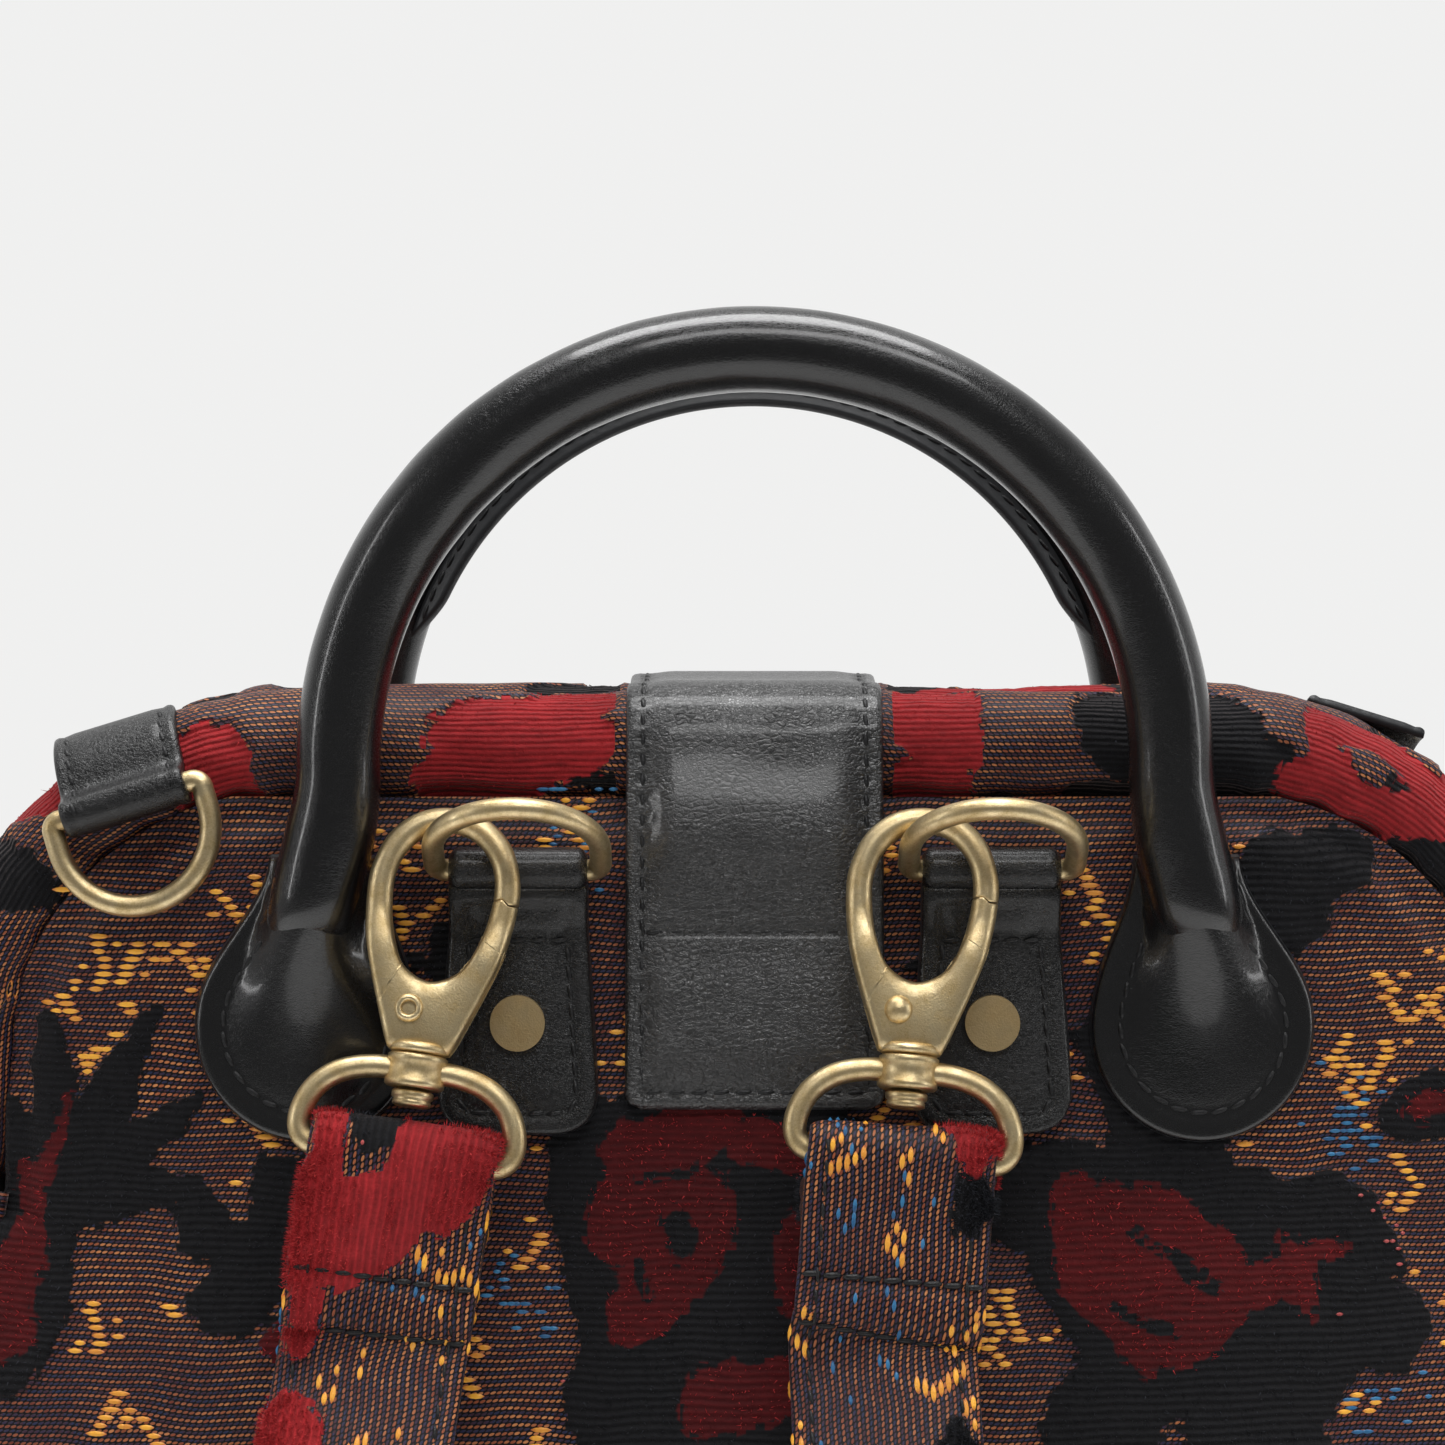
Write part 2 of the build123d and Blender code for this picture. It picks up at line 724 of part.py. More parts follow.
def hook_in(plane):
    """A snap hook: wire bow, forked jaw that holds the gate, and the riveted post below it."""
    with BuildPart() as hook:
        with BuildLine(plane) as path:
            Line((-hook_half_w, jaw_top_v - 3), (-hook_half_w, hook_arch_v))
            ThreePointArc(
                (-hook_half_w, hook_arch_v), (0, hook_arch_v + hook_half_w), (hook_half_w, hook_arch_v)
            )
            Line((hook_half_w, hook_arch_v), (hook_half_w, hook_arch_v - 5))
        with BuildSketch(Plane(origin=path.line @ 0, z_dir=path.line % 0)):
            Circle(hook_wire_r)
        sweep()
        with BuildSketch(plane):
            with Locations(gate_pivot):
                Circle(gate_split_r)
            with Locations((gate_pivot[0] - 3, gate_pivot[1])):
                Rectangle(far, far, align=(Align.MIN, Align.CENTER), mode=Mode.INTERSECT)
            with Locations((3, hook_arch_v + 4)):
                Rectangle(far, far, align=(Align.MIN, Align.MAX), mode=Mode.INTERSECT)
        extrude(amount=hook_half_w, both=True, mode=Mode.SUBTRACT)
        with BuildSketch(plane):
            with BuildLine():
                jaw_half_w = hook_half_w + hook_wire_r
                Polyline(
                    (-jaw_half_w, jaw_top_v),
                    (jaw_half_w, jaw_top_v),
                    (jaw_half_w, jaw_top_v - 3),
                    (post_r + 3, jaw_bottom_v),
                    (-post_r - 3, jaw_bottom_v),
                    (-jaw_half_w, jaw_top_v - 3),
                    close=True,
                )
            make_face()
        extrude(amount=jaw_half_t, both=True)
        with BuildSketch(plane):
            with Locations((gate_pivot[0] - gate_room, gate_pivot[1] - gate_room)):
                Rectangle(far, far, align=(Align.MIN, Align.MIN))
            with Locations((0, jaw_top_v + 0.5)):
                Rectangle(far, far, align=(Align.CENTER, Align.MAX), mode=Mode.INTERSECT)
        extrude(amount=jaw_slot / 2, both=True, mode=Mode.SUBTRACT)
        with BuildSketch(plane):
            with Locations(gate_pivot):
                Circle(gate_pin_r)
        extrude(amount=far, both=True, mode=Mode.SUBTRACT)
        post_plane = Plane(
            origin=plane.from_local_coords((0, jaw_bottom_v, 0)), x_dir=plane.x_dir, z_dir=-plane.y_dir
        )
        with BuildSketch(post_plane):
            Circle(post_r)
        extrude(amount=jaw_bottom_v - washer_v)
        with BuildSketch(post_plane.offset(jaw_bottom_v - washer_v)):
            Circle(barrel_r)
        extrude(amount=washer_t)
        with BuildSketch(post_plane.offset(jaw_bottom_v - washer_v + washer_t)):
            Circle(post_head_r)
        extrude(amount=post_head_t, taper=30)
    return hook.part


def gate_in(plane):
    """The sprung gate that closes the hook: a short bar with a flat lug round the pin."""
    foot = (hook_half_w - 0.4, jaw_top_v - 0.4)
    with BuildPart() as gate:
        with BuildLine(plane) as path:
            Line(foot, (hook_half_w, hook_arch_v))
        with BuildSketch(Plane(origin=path.line @ 0, z_dir=path.line % 0)):
            Circle(gate_wire_r)
        sweep()
        with BuildSketch(plane):
            with BuildLine():
                Polyline(
                    (hook_half_w - gate_wire_r - 0.4, jaw_top_v + 3),
                    (hook_half_w + gate_wire_r - 0.4, jaw_top_v + 3),
                    (hook_half_w + gate_wire_r - 0.4, jaw_top_v - 1.5),
                    (gate_pivot[0] + 1, gate_pivot[1] - 2.8),
                    (gate_pivot[0], gate_pivot[1] + 2.8),
                    close=True,
                )
            make_face()
            with Locations(gate_pivot):
                Circle(gate_boss_r)
            with Locations(gate_pivot):
                Circle(gate_pin_r + gate_fit, mode=Mode.SUBTRACT)
        extrude(amount=gate_lug_t / 2, both=True)
        with BuildSketch(plane):
            with Locations(gate_pivot):
                Circle(gate_split_r - gate_split_gap)
        extrude(amount=far, both=True, mode=Mode.INTERSECT)
        for way in (-1, 1):
            with BuildSketch(plane.offset(way * gate_lug_t / 2)):
                with Locations((0, jaw_top_v + 0.3)):
                    Rectangle(far, far, align=(Align.CENTER, Align.MAX))
            extrude(amount=way * far, mode=Mode.SUBTRACT)
    return gate.part


def gate_pin_in(plane):
    """The rivet that the gate turns on, with a small head on each face of the jaw."""
    with BuildPart() as pin:
        with BuildSketch(plane.offset(-jaw_half_t)):
            with Locations(gate_pivot):
                Circle(gate_pin_r)
        extrude(amount=2 * jaw_half_t)
        for way in (-1, 1):
            with BuildSketch(plane.offset(way * jaw_half_t)):
                with Locations(gate_pivot):
                    Circle(gate_pin_head_r)
            extrude(amount=way * gate_pin_head_t)
    return pin.part


def eye_in(plane):
    """The swivel eye: a barrel on the post and a wire loop that carries the strap."""
    with BuildPart() as eye:
        with BuildLine(plane) as path:
            mid_v = barrel_top_v - barrel_l / 2
            FilletPolyline(
                (0, mid_v),
                (-eye_half_w + 4, mid_v - 1.5),
                (-eye_half_w, mid_v - 6.5),
                (-eye_half_w, eye_bar_v),
                (eye_half_w, eye_bar_v),
                (eye_half_w, mid_v - 6.5),
                (eye_half_w - 4, mid_v - 1.5),
                (0, mid_v),
                radius=2.2,
            )
        with BuildSketch(Plane(origin=path.line @ 0, z_dir=path.line % 0)):
            Circle(eye_wire_r)
        sweep()
        barrel_plane = Plane(
            origin=plane.from_local_coords((0, barrel_top_v, 0)), x_dir=plane.x_dir, z_dir=-plane.y_dir
        )
        with BuildSketch(barrel_plane):
            Circle(barrel_r)
        extrude(amount=barrel_l)
        with BuildSketch(barrel_plane.offset(-far / 2)):
            Circle(post_r + post_fit)
        extrude(amount=far, mode=Mode.SUBTRACT)
    return eye.part


def strap_loop(plane, bar_v, length, wire_r):
    """The strap's sewn end: cloth folded round a bar, its two layers hanging below."""
    outer_r = wire_r + strap_fit + strap_t
    side_plane = Plane(
        origin=plane.from_local_coords((0, bar_v, 0)), x_dir=-plane.y_dir, z_dir=plane.x_dir
    )
    with BuildPart() as loop:
        with BuildSketch(side_plane) as hull:
            Circle(outer_r)
            with Locations((outer_r + strap_t, 0)):
                Rectangle(1, loop_t)
            make_hull()
        extrude(amount=strap_w / 2, both=True)
        with BuildSketch(side_plane):
            with Locations((outer_r, 0)):
                Rectangle(length - outer_r, loop_t, align=(Align.MIN, Align.CENTER))
        extrude(amount=strap_w / 2, both=True)
        with BuildSketch(side_plane):
            Circle(wire_r + strap_fit)
        extrude(amount=strap_w, both=True, mode=Mode.SUBTRACT)
    return loop.part


# Side rings: a leather loop round the mouth roll near its corner, with a hanging ring
side_ring_x = arm_x - arm_bend_r + side_ring_run
side_centre_z = roll_z - arm_bend_r + sqrt(arm_bend_r**2 - side_ring_run**2)
side_loop_reach = roll_r + side_tab_t + ring_fit + ring_wire_r
side_tilt = radians(side_ring_tilt)
side_along = Vector(cos(side_tilt), 0, sin(side_tilt))
side_plane = Plane(origin=(-side_ring_x, -roll_y, side_centre_z), x_dir=(0, -1, 0), z_dir=side_along)

with BuildPart() as back_side_tab:
    with BuildSketch(side_plane):
        Circle(roll_r + side_tab_t)
        Rectangle(2 * roll_r, side_tab_h, align=(Align.MIN, Align.CENTER), mode=Mode.INTERSECT)
    extrude(amount=side_tab_w / 2, both=True)
    with BuildSketch(side_plane):
        with Locations((side_loop_reach, 0)):
            Circle(tab_loop_r)
    extrude(amount=side_tab_w / 2, both=True)
    add(roll_solid, mode=Mode.SUBTRACT)
    add(bag_outer, mode=Mode.SUBTRACT)
    with BuildSketch(side_plane):
        with Locations((side_loop_reach, 0)):
            Circle(ring_wire_r + ring_fit)
    extrude(amount=side_tab_w, both=True, mode=Mode.SUBTRACT)

side_bar = side_plane.from_local_coords((side_loop_reach, 0, 0))
side_down = Vector(sin(side_tilt), 0, -cos(side_tilt)) * cos(radians(side_ring_lean))
side_hang = side_down - Vector(0, sin(radians(side_ring_lean)), 0)
side_ring_plane = Plane(origin=side_bar, x_dir=side_along, z_dir=side_along.cross(side_hang))
back_side_ring = d_loop(side_ring_plane, side_ring_half_w, side_ring_h, 1.6, ring_wire_r)

# Lower rings in small tabs at the foot of the back
lower_bar_y = tab_bar_y(lower_x, lower_z)
lower_tilt = 22


def lower_plane(side):
    """The plane of a lower ring: x across, y back towards the bag, facing down."""
    tilt = radians(lower_tilt)
    back = Vector(0, cos(tilt), sin(tilt))
    return Plane(
        origin=(side * lower_x, lower_bar_y, lower_z), x_dir=(1, 0, 0), z_dir=Vector(1, 0, 0).cross(back)
    )


def lower_ring_in(plane):
    """A plain wire rectangle between the tab and the end of the strap."""
    with BuildPart() as ring:
        with BuildLine(plane) as path:
            FilletPolyline(
                (-eye_half_w, 0),
                (-eye_half_w, -lower_ring_l),
                (eye_half_w, -lower_ring_l),
                (eye_half_w, 0),
                radius=2.2,
                close=True,
            )
        with BuildSketch(Plane(origin=path.line @ 0, z_dir=path.line % 0)):
            Circle(ring_wire_r)
        sweep()
    return ring.part


def shoulder_strap(start_plane, end_plane, drift):
    """The long run of one strap, hanging from the swivel eye and curling in to the lower ring.
    drift is how far across it has gone at four heights on the way down."""
    start = start_plane.from_local_coords((0, eye_bar_v - loop_l - strap_gap, 0))
    end = end_plane.from_local_coords((0, -lower_ring_l - lower_loop_l - strap_gap, 0))
    start_way = -start_plane.y_dir
    end_way = end_plane.y_dir
    x0, x1 = start.X, end.X
    with BuildPart() as strap:
        with BuildLine(mode=Mode.PRIVATE) as path:
            Spline(
                start,
                (x0 + drift[0] * (x1 - x0), -84, 160),
                (x0 + drift[1] * (x1 - x0), -110, 110),
                (x0 + drift[2] * (x1 - x0), -130, 62),
                (x0 + drift[3] * (x1 - x0), -133, 26),
                end,
                tangents=(start_way, end_way),
            )
        count = 15
        for i in range(count):
            place = i / (count - 1)
            along = path.line % place
            across = Vector(1, 0, 0) - along * along.X
            with BuildSketch(Plane(origin=path.line @ place, x_dir=across, z_dir=along)):
                Rectangle(strap_w, strap_t)
        loft()
    return strap.part


sides = {"left": -1, "right": 1}
hook_planes = {name: hook_plane(side, hook_rolls[name]) for name, side in sides.items()}
lower_planes = {name: lower_plane(side) for name, side in sides.items()}

pieces = {
    "back_panel": back_panel.part,
    "front_panel_lower": front_panel_lower.part,
    "front_panel_upper": front_panel_upper.part,
    "left_gusset": left_gusset.part,
    "right_gusset": right_gusset.part,
    "left_gusset_pleat": left_pleat,
    "right_gusset_pleat": right_pleat.part,
    "lining": lining.part,
    "front_lining": front_lining.part,
    "base_panel": base_panel,
    "base_board": base_board,
    "back_frame_bar": back_frame_bar,
    "front_frame_bar": front_frame_bar,
    "frame_rivets": frame_rivets.part,
    "back_roll": back_roll.part,
    "front_roll": front_roll,
    "back_handle_cover": back_handle_cover.part,
    "back_handle_core": back_handle_core,
    "front_handle_cover": front_handle_cover,
    "front_handle_core": front_handle_core,
    "closure_strap_base": closure_strap_base.part,
    "closure_flap": closure_flap.part,
    "flap_magnet": flap_magnet.part,
    "catch_magnet": catch_magnet.part,
    "tab_rivets": tab_rivets.part,
    "back_side_tab": back_side_tab.part,
    "back_side_ring": back_side_ring,
    "front_side_tab": turned(back_side_tab.part),
    "front_side_ring": turned(back_side_ring),
}
for name, side in sides.items():
    plane = hook_planes[name]
    pieces[f"{name}_ring_tab"] = ring_tab(side)
    pieces[f"{name}_ring"] = strap_ring(side, ring_leans[name])
    pieces[f"{name}_hook"] = hook_in(plane)
    pieces[f"{name}_gate"] = gate_in(plane)
    pieces[f"{name}_gate_pin"] = gate_pin_in(plane)
    pieces[f"{name}_eye"] = eye_in(plane)
    pieces[f"{name}_strap_loop"] = strap_loop(plane, eye_bar_v, loop_l, eye_wire_r)
    pieces[f"{name}_lower_tab"] = leather_tab(
        side * lower_x, lower_z, lower_tab_top, lower_tab_w, lower_tab_w
    )
    pieces[f"{name}_lower_ring"] = lower_ring_in(lower_planes[name])
    pieces[f"{name}_strap_end"] = strap_loop(lower_planes[name], -lower_ring_l, lower_loop_l, ring_wire_r)
    pieces[f"{name}_shoulder_strap"] = shoulder_strap(plane, lower_planes[name], strap_drifts[name])

os.makedirs("parts", exist_ok=True)
for name, piece in pieces.items():
    piece.label = name
    export_step(piece, f"parts/{name}.step")
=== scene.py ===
"""Looks of the carpet bag backpack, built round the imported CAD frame.

Lengths in the shape code are millimetres, as in the CAD source, and turn into metres when a mesh is made.
"""

import math

import bmesh
import bpy
import numpy as np
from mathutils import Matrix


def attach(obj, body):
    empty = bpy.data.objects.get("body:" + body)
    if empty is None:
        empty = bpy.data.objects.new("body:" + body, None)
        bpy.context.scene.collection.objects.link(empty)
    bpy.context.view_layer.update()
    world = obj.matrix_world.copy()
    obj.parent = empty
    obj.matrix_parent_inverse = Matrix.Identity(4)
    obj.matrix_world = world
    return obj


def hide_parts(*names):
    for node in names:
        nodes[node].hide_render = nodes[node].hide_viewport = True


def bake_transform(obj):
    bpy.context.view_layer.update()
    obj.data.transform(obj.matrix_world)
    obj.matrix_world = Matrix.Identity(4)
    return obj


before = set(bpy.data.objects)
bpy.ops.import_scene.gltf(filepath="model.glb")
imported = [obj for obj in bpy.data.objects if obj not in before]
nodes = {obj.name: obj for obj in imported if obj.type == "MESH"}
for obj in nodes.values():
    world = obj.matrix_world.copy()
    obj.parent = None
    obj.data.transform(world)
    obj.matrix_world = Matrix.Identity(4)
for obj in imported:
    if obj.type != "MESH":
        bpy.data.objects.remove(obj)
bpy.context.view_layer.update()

MM = 0.001
rng = np.random.default_rng(11)

# Sizes that repeat the CAD source
PIVOT_Z, ROLL_Z, ROLL_R, ROLL_Y = 222.0, 298.0, 12.0, 12.2
ARM_X, ARM_BEND = 138.0, 56.0
CLOTH_T = 2.4
STATIONS = np.array(
    [
        (3, 138, 62, 6, 6), (40, 152, 71, 6.5, 11), (100, 158, 73, 8, 16), (165, 156, 57, 11, 15),
        (222, 150, 40, 16, 14.5), (262, 150, 31, 20, 6.6), (298, 150, 24.6, 20, 0.2),
    ],
    float,
)
HANDLE_Y, HANDLE_R, ARCH_R, ARCH_Z = 32.6, 7.4, 72.0, 297.0


# ---------------------------------------------------------------- curves and noise


def natural_spline(xs, ys):
    """Second derivatives of a natural cubic spline through the points."""
    n = len(xs)
    h = np.diff(xs)
    a = np.zeros((n, n))
    b = np.zeros((n,) + ys.shape[1:])
    a[0, 0] = a[-1, -1] = 1
    for i in range(1, n - 1):
        a[i, i - 1], a[i, i], a[i, i + 1] = h[i - 1], 2 * (h[i - 1] + h[i]), h[i]
        b[i] = 6 * ((ys[i + 1] - ys[i]) / h[i] - (ys[i] - ys[i - 1]) / h[i - 1])
    return np.linalg.solve(a, b)


def spline_at(xs, ys, second, x):
    i = np.clip(np.searchsorted(xs, x) - 1, 0, len(xs) - 2)
    h = (xs[i + 1] - xs[i])[..., None]
    lo, hi = (xs[i + 1] - x)[..., None], (x - xs[i])[..., None]
    return (
        second[i] * lo**3 / (6 * h)
        + second[i + 1] * hi**3 / (6 * h)
        + (ys[i] / h - second[i] * h / 6) * lo
        + (ys[i + 1] / h - second[i + 1] * h / 6) * hi
    )


STATION_SECOND = natural_spline(STATIONS[:, 0], STATIONS[:, 1:])


def section(z):
    """Half width, half depth, side bulge and face bulge of the bag at each height."""
    rows = spline_at(STATIONS[:, 0], STATIONS[:, 1:], STATION_SECOND, np.clip(z, 3, 298))
    return rows[..., 0], rows[..., 1], rows[..., 2], np.maximum(rows[..., 3], 0.2)


def face_depth(x, z, out=0.0):
    """Distance of the bag's face from the middle plane."""
    half_w, half_d, side, face = section(np.asarray(z, float))
    chord = half_w + out - side
    r = (chord**2 + face**2) / (2 * face)
    return half_d + out - (r - np.sqrt(np.maximum(r**2 - np.asarray(x, float) ** 2, 1)))


TABLE = rng.random((256, 256))


def noise2(x, y, seed=0):
    """Smooth value noise from 0 to 1, one lattice cell per unit."""
    x, y = np.asarray(x, float) + 17.3 * seed, np.asarray(y, float) + 9.7 * seed
    i, j = np.floor(x).astype(int), np.floor(y).astype(int)
    fx, fy = x - i, y - j
    fx, fy = fx * fx * (3 - 2 * fx), fy * fy * (3 - 2 * fy)
    a, b = TABLE[i % 256, j % 256], TABLE[(i + 1) % 256, j % 256]
    c, d = TABLE[i % 256, (j + 1) % 256], TABLE[(i + 1) % 256, (j + 1) % 256]
    return (a * (1 - fx) + b * fx) * (1 - fy) + (c * (1 - fx) + d * fx) * fy


def ease(x):
    x = np.clip(x, 0, 1)
    return x * x * (3 - 2 * x)


def unit(v):
    return v / np.maximum(np.linalg.norm(v, axis=-1, keepdims=True), 1e-9)


# ---------------------------------------------------------------- mesh building


class Mesh:
    """Collects grids of points and turns them into one object."""

    def __init__(self):
        self.points, self.uv, self.fields, self.faces, self.kinds = [], [], [], [], []
        self.count = 0

    def add(self, points, faces, uv=None, fields=None, kind=0):
        points = np.asarray(points, float).reshape(-1, 3)
        n = len(points)
        self.points.append(points)
        self.uv.append(np.zeros((n, 2)) if uv is None else np.asarray(uv, float).reshape(-1, 2))
        self.fields.append(np.full((n, 3), (-9.0, -9.0, 0.5)) if fields is None else fields.reshape(-1, 3))
        faces = np.asarray(faces, int)
        if faces.shape[1] == 3:
            faces = np.concatenate([faces, np.full((len(faces), 1), -1)], axis=1)
        shifted = np.where(faces >= 0, faces + self.count, -1)
        self.faces.append(shifted)
        self.kinds.append(np.full(len(faces), kind))
        self.count += n
        return self

    def make(self, name, materials, smooth=True, tidy=False):
        points = np.concatenate(self.points) * MM
        uv = np.concatenate(self.uv) / 100
        fields = np.concatenate(self.fields)
        faces = np.concatenate(self.faces)
        kinds = np.concatenate(self.kinds)
        mesh = bpy.data.meshes.new(name)
        mesh.from_pydata(points.tolist(), [], [[int(i) for i in f if i >= 0] for f in faces])
        mesh.polygons.foreach_set("material_index", kinds.astype(np.int32))
        mesh.polygons.foreach_set("use_smooth", np.full(len(faces), smooth))
        layer = mesh.uv_layers.new(name="cloth")
        corner = np.zeros(len(mesh.loops), np.int32)
        mesh.loops.foreach_get("vertex_index", corner)
        layer.data.foreach_set("uv", uv[corner].astype(np.float32).ravel())
        for i, key in enumerate(("black", "red", "tone")):
            attribute = mesh.attributes.new(key, "FLOAT", "POINT")
            attribute.data.foreach_set("value", fields[:, i].astype(np.float32))
        for m in materials:
            mesh.materials.append(m)
        mesh.update()
        mesh.validate()
        if tidy:
            soup = bmesh.new()
            soup.from_mesh(mesh)
            bmesh.ops.recalc_face_normals(soup, faces=soup.faces)
            soup.to_mesh(mesh)
            soup.free()
        obj = bpy.data.objects.new(name, mesh)
        bpy.context.scene.collection.objects.link(obj)
        return obj


def grid_faces(n, m, wrap=False, flip=False):
    """Quads of an n by m grid of points; wrap joins the last column to the first."""
    i, j = np.meshgrid(np.arange(n - 1), np.arange(m if wrap else m - 1), indexing="ij")
    i, j = i.ravel(), j.ravel()
    k = (j + 1) % m
    quads = np.stack([i * m + j, i * m + k, (i + 1) * m + k, (i + 1) * m + j], axis=1)
    return quads[:, ::-1] if flip else quads


def grid_normals(p, flip=False):
    """Unit normals of a grid of points."""
    du = np.gradient(p, axis=1)
    dv = np.gradient(p, axis=0)
    n = unit(np.cross(du, dv))
    return -n if flip else n


def rim_faces(n, m):
    """Quads that close an outer and an inner n by m grid round their border."""
    a = np.arange(n * m).reshape(n, m)
    border = np.concatenate([a[0, :], a[1:, -1], a[-1, -2::-1], a[-2:0:-1, 0]])
    nxt = np.roll(border, -1)
    return np.stack([nxt, border, border + n * m, nxt + n * m], axis=1)


# ---------------------------------------------------------------- the woven pattern


def ellipse(u, v, cx, cy, rx, ry, turn):
    c, s = math.cos(math.radians(turn)), math.sin(math.radians(turn))
    x, y = u - cx, v - cy
    a, b = (c * x + s * y) / rx, (-s * x + c * y) / ry
    return (1 - np.sqrt(a * a + b * b)) * min(rx, ry)


def taper(u, v, x0, y0, r0, x1, y1, r1):
    dx, dy = x1 - x0, y1 - y0
    t = np.clip(((u - x0) * dx + (v - y0) * dy) / (dx * dx + dy * dy + 1e-9), 0, 1)
    return r0 + (r1 - r0) * t - np.hypot(u - x0 - t * dx, v - y0 - t * dy)


def blend_max(a, b, k=1.6):
    h = np.clip(0.5 + 0.5 * (a - b) / k, 0, 1)
    return b * (1 - h) + a * h + k * h * (1 - h)


def bloom(cx, cy, size, petals, turn, heart=True):
    """A big lobed flower: dark petals, crimson crescents, a dark middle."""
    out = []
    for i in range(petals):
        a = math.radians(turn + 360 / petals * i)
        x, y = cx + math.cos(a) * size * 0.62, cy + math.sin(a) * size * 0.55
        out.append(("black", "e", (x, y, size * 0.40, size * 0.27, math.degrees(a) + 90)))
        if i % 2 == 0 or petals < 6:
            xi, yi = cx + math.cos(a) * size * 0.50, cy + math.sin(a) * size * 0.44
            out.append(("red", "e", (xi, yi, size * 0.23, size * 0.10, math.degrees(a) + 96)))
    out.append(("black", "e", (cx, cy, size * 0.62, size * 0.55, turn)))
    if heart:
        out.append(("red", "e", (cx - size * 0.05, cy - size * 0.02, size * 0.34, size * 0.24, turn + 20)))
        out.append(("cut", "e", (cx + size * 0.02, cy + size * 0.06, size * 0.21, size * 0.13, turn + 10)))
    return out


def leaf(cx, cy, size, turn, vein=True):
    """A hand-shaped leaf of dark fingers on a stem."""
    out = []
    for angle, reach in ((-64, 0.62), (-34, 0.86), (-6, 1.0), (24, 0.9), (55, 0.66)):
        a = math.radians(turn + angle)
        x, y = cx + math.cos(a) * size * reach, cy + math.sin(a) * size * reach
        out.append(("black", "t", (cx, cy, size * 0.21, x, y, size * 0.055)))
    a = math.radians(turn + 180)
    out.append(
        (
            "black",
            "t",
            (
                cx,
                cy,
                size * 0.2,
                cx + math.cos(a) * size * 0.55,
                cy + math.sin(a) * size * 0.5,
                size * 0.12,
            ),
        ),
    )
    if vein:
        a = math.radians(turn + 14)
        x, y = cx + math.cos(a) * size * 0.5, cy + math.sin(a) * size * 0.5
        b = math.radians(turn + 170)
        out.append(
            (
                "red",
                "t",
                (
                    cx + math.cos(b) * size * 0.35,
                    cy + math.sin(b) * size * 0.35,
                    size * 0.075,
                    x,
                    y,
                    size * 0.035,
                ),
            ),
        )
    return out


def lobes(cx, cy, size, turn):
    """A cloud of small dark lobes."""
    out = []
    lobe_sizes = ((0, 0.42), (0.62, 0.3), (0.7, 0.27), (0.6, 0.32), (0.66, 0.25), (0.72, 0.28))
    for i, (d, r) in enumerate(lobe_sizes):
        a = math.radians(turn + 72 * i)
        out.append(
            (
                "black",
                "e",
                (
                    cx + math.cos(a) * size * d,
                    cy + math.sin(a) * size * d,
                    size * r * 1.25,
                    size * r,
                    turn + 50 * i,
                ),
            ),
        )
    return out


TILE_W, TILE_H = 268.0, 132.0
TILE = (
    bloom(78, 206, 33, 7, 10, heart=False)[1::2]
    + [
        ("black", "e", (78, 207, 27, 21, 8)),
        ("black", "e", (52, 222, 12, 9, 40)),
        ("black", "e", (101, 215, 13, 9, -30)),
        ("black", "e", (108, 199, 9, 7, 0)),
        ("black", "e", (60, 187, 12, 9, 20)),
        ("black", "e", (86, 182, 13, 8, -10)),
        ("black", "e", (72, 229, 11, 8, 10)),
        ("red", "t", (57, 222, 4.5, 60, 209, 7.5)),
        ("red", "t", (60, 209, 7.5, 74, 202, 8.5)),
        ("red", "t", (74, 202, 8.5, 90, 208, 3.0)),
        ("red", "t", (64, 221, 5, 77, 212, 7.5)),
        ("cut", "t", (67, 216, 1.2, 80, 206, 1.6)),
        ("cut", "t", (62, 203, 1.0, 72, 199, 1.4)),
        ("red", "e", (98, 213, 5.5, 2.2, 8)),
        ("black", "e", (93, 275, 9, 12, 15)),
        ("black", "e", (101, 280, 8, 7, 0)),
        ("black", "t", (60, 250, 4, 66, 236, 6)),
    ]
    + [
        ("black", "e", (-9, 212, 24, 33, 8)),
        ("black", "e", (-27, 226, 9, 14, 10)),
        ("black", "e", (-24, 190, 9, 12, -20)),
        ("black", "e", (9, 232, 12, 9, 0)),
        ("black", "e", (14, 204, 10, 13, 0)),
        ("black", "e", (6, 184, 15, 8, 10)),
        ("red", "e", (-15, 219, 13, 13, 0)),
        ("red", "t", (-20, 231, 6, -8, 236, 5)),
        ("red", "e", (3, 231, 8, 5, -20)),
        ("red", "t", (-21, 203, 5, -14, 210, 7)),
        ("red", "t", (-8, 189, 6, 8, 192, 4)),
        ("red", "e", (7, 212, 4, 9, -12)),
        ("cut", "e", (-12, 216, 3, 5.5, 10)),
        ("cut", "t", (-19, 226, 1.2, -10, 228, 1.2)),
        ("cut", "t", (-22, 213, 1.0, -18, 207, 1.4)),
    ]
    + leaf(-122, 220, 36, 70)
    + [
        ("black", "e", (-129, 208, 10, 22, -8)),
        ("red", "t", (-128, 226, 1.6, -126, 212, 3.2)),
        ("red", "t", (-126, 212, 3.2, -133, 201, 4.5)),
        ("red", "e", (-131, 196, 6.5, 3.4, 30)),
    ]
    + lobes(-84, 212, 19, 12)
    + [("black", "t", (-74, 231, 5, -66, 214, 7)), ("red", "e", (-80, 199, 6, 3, 20))]
    + lobes(-52, 262, 8, 40)
    + leaf(40, 258, 17, 200, vein=False)
    + [("black", "e", (118, 236, 9, 6, 30)), ("red", "e", (119, 236, 4.5, 2.4, 30))]
)


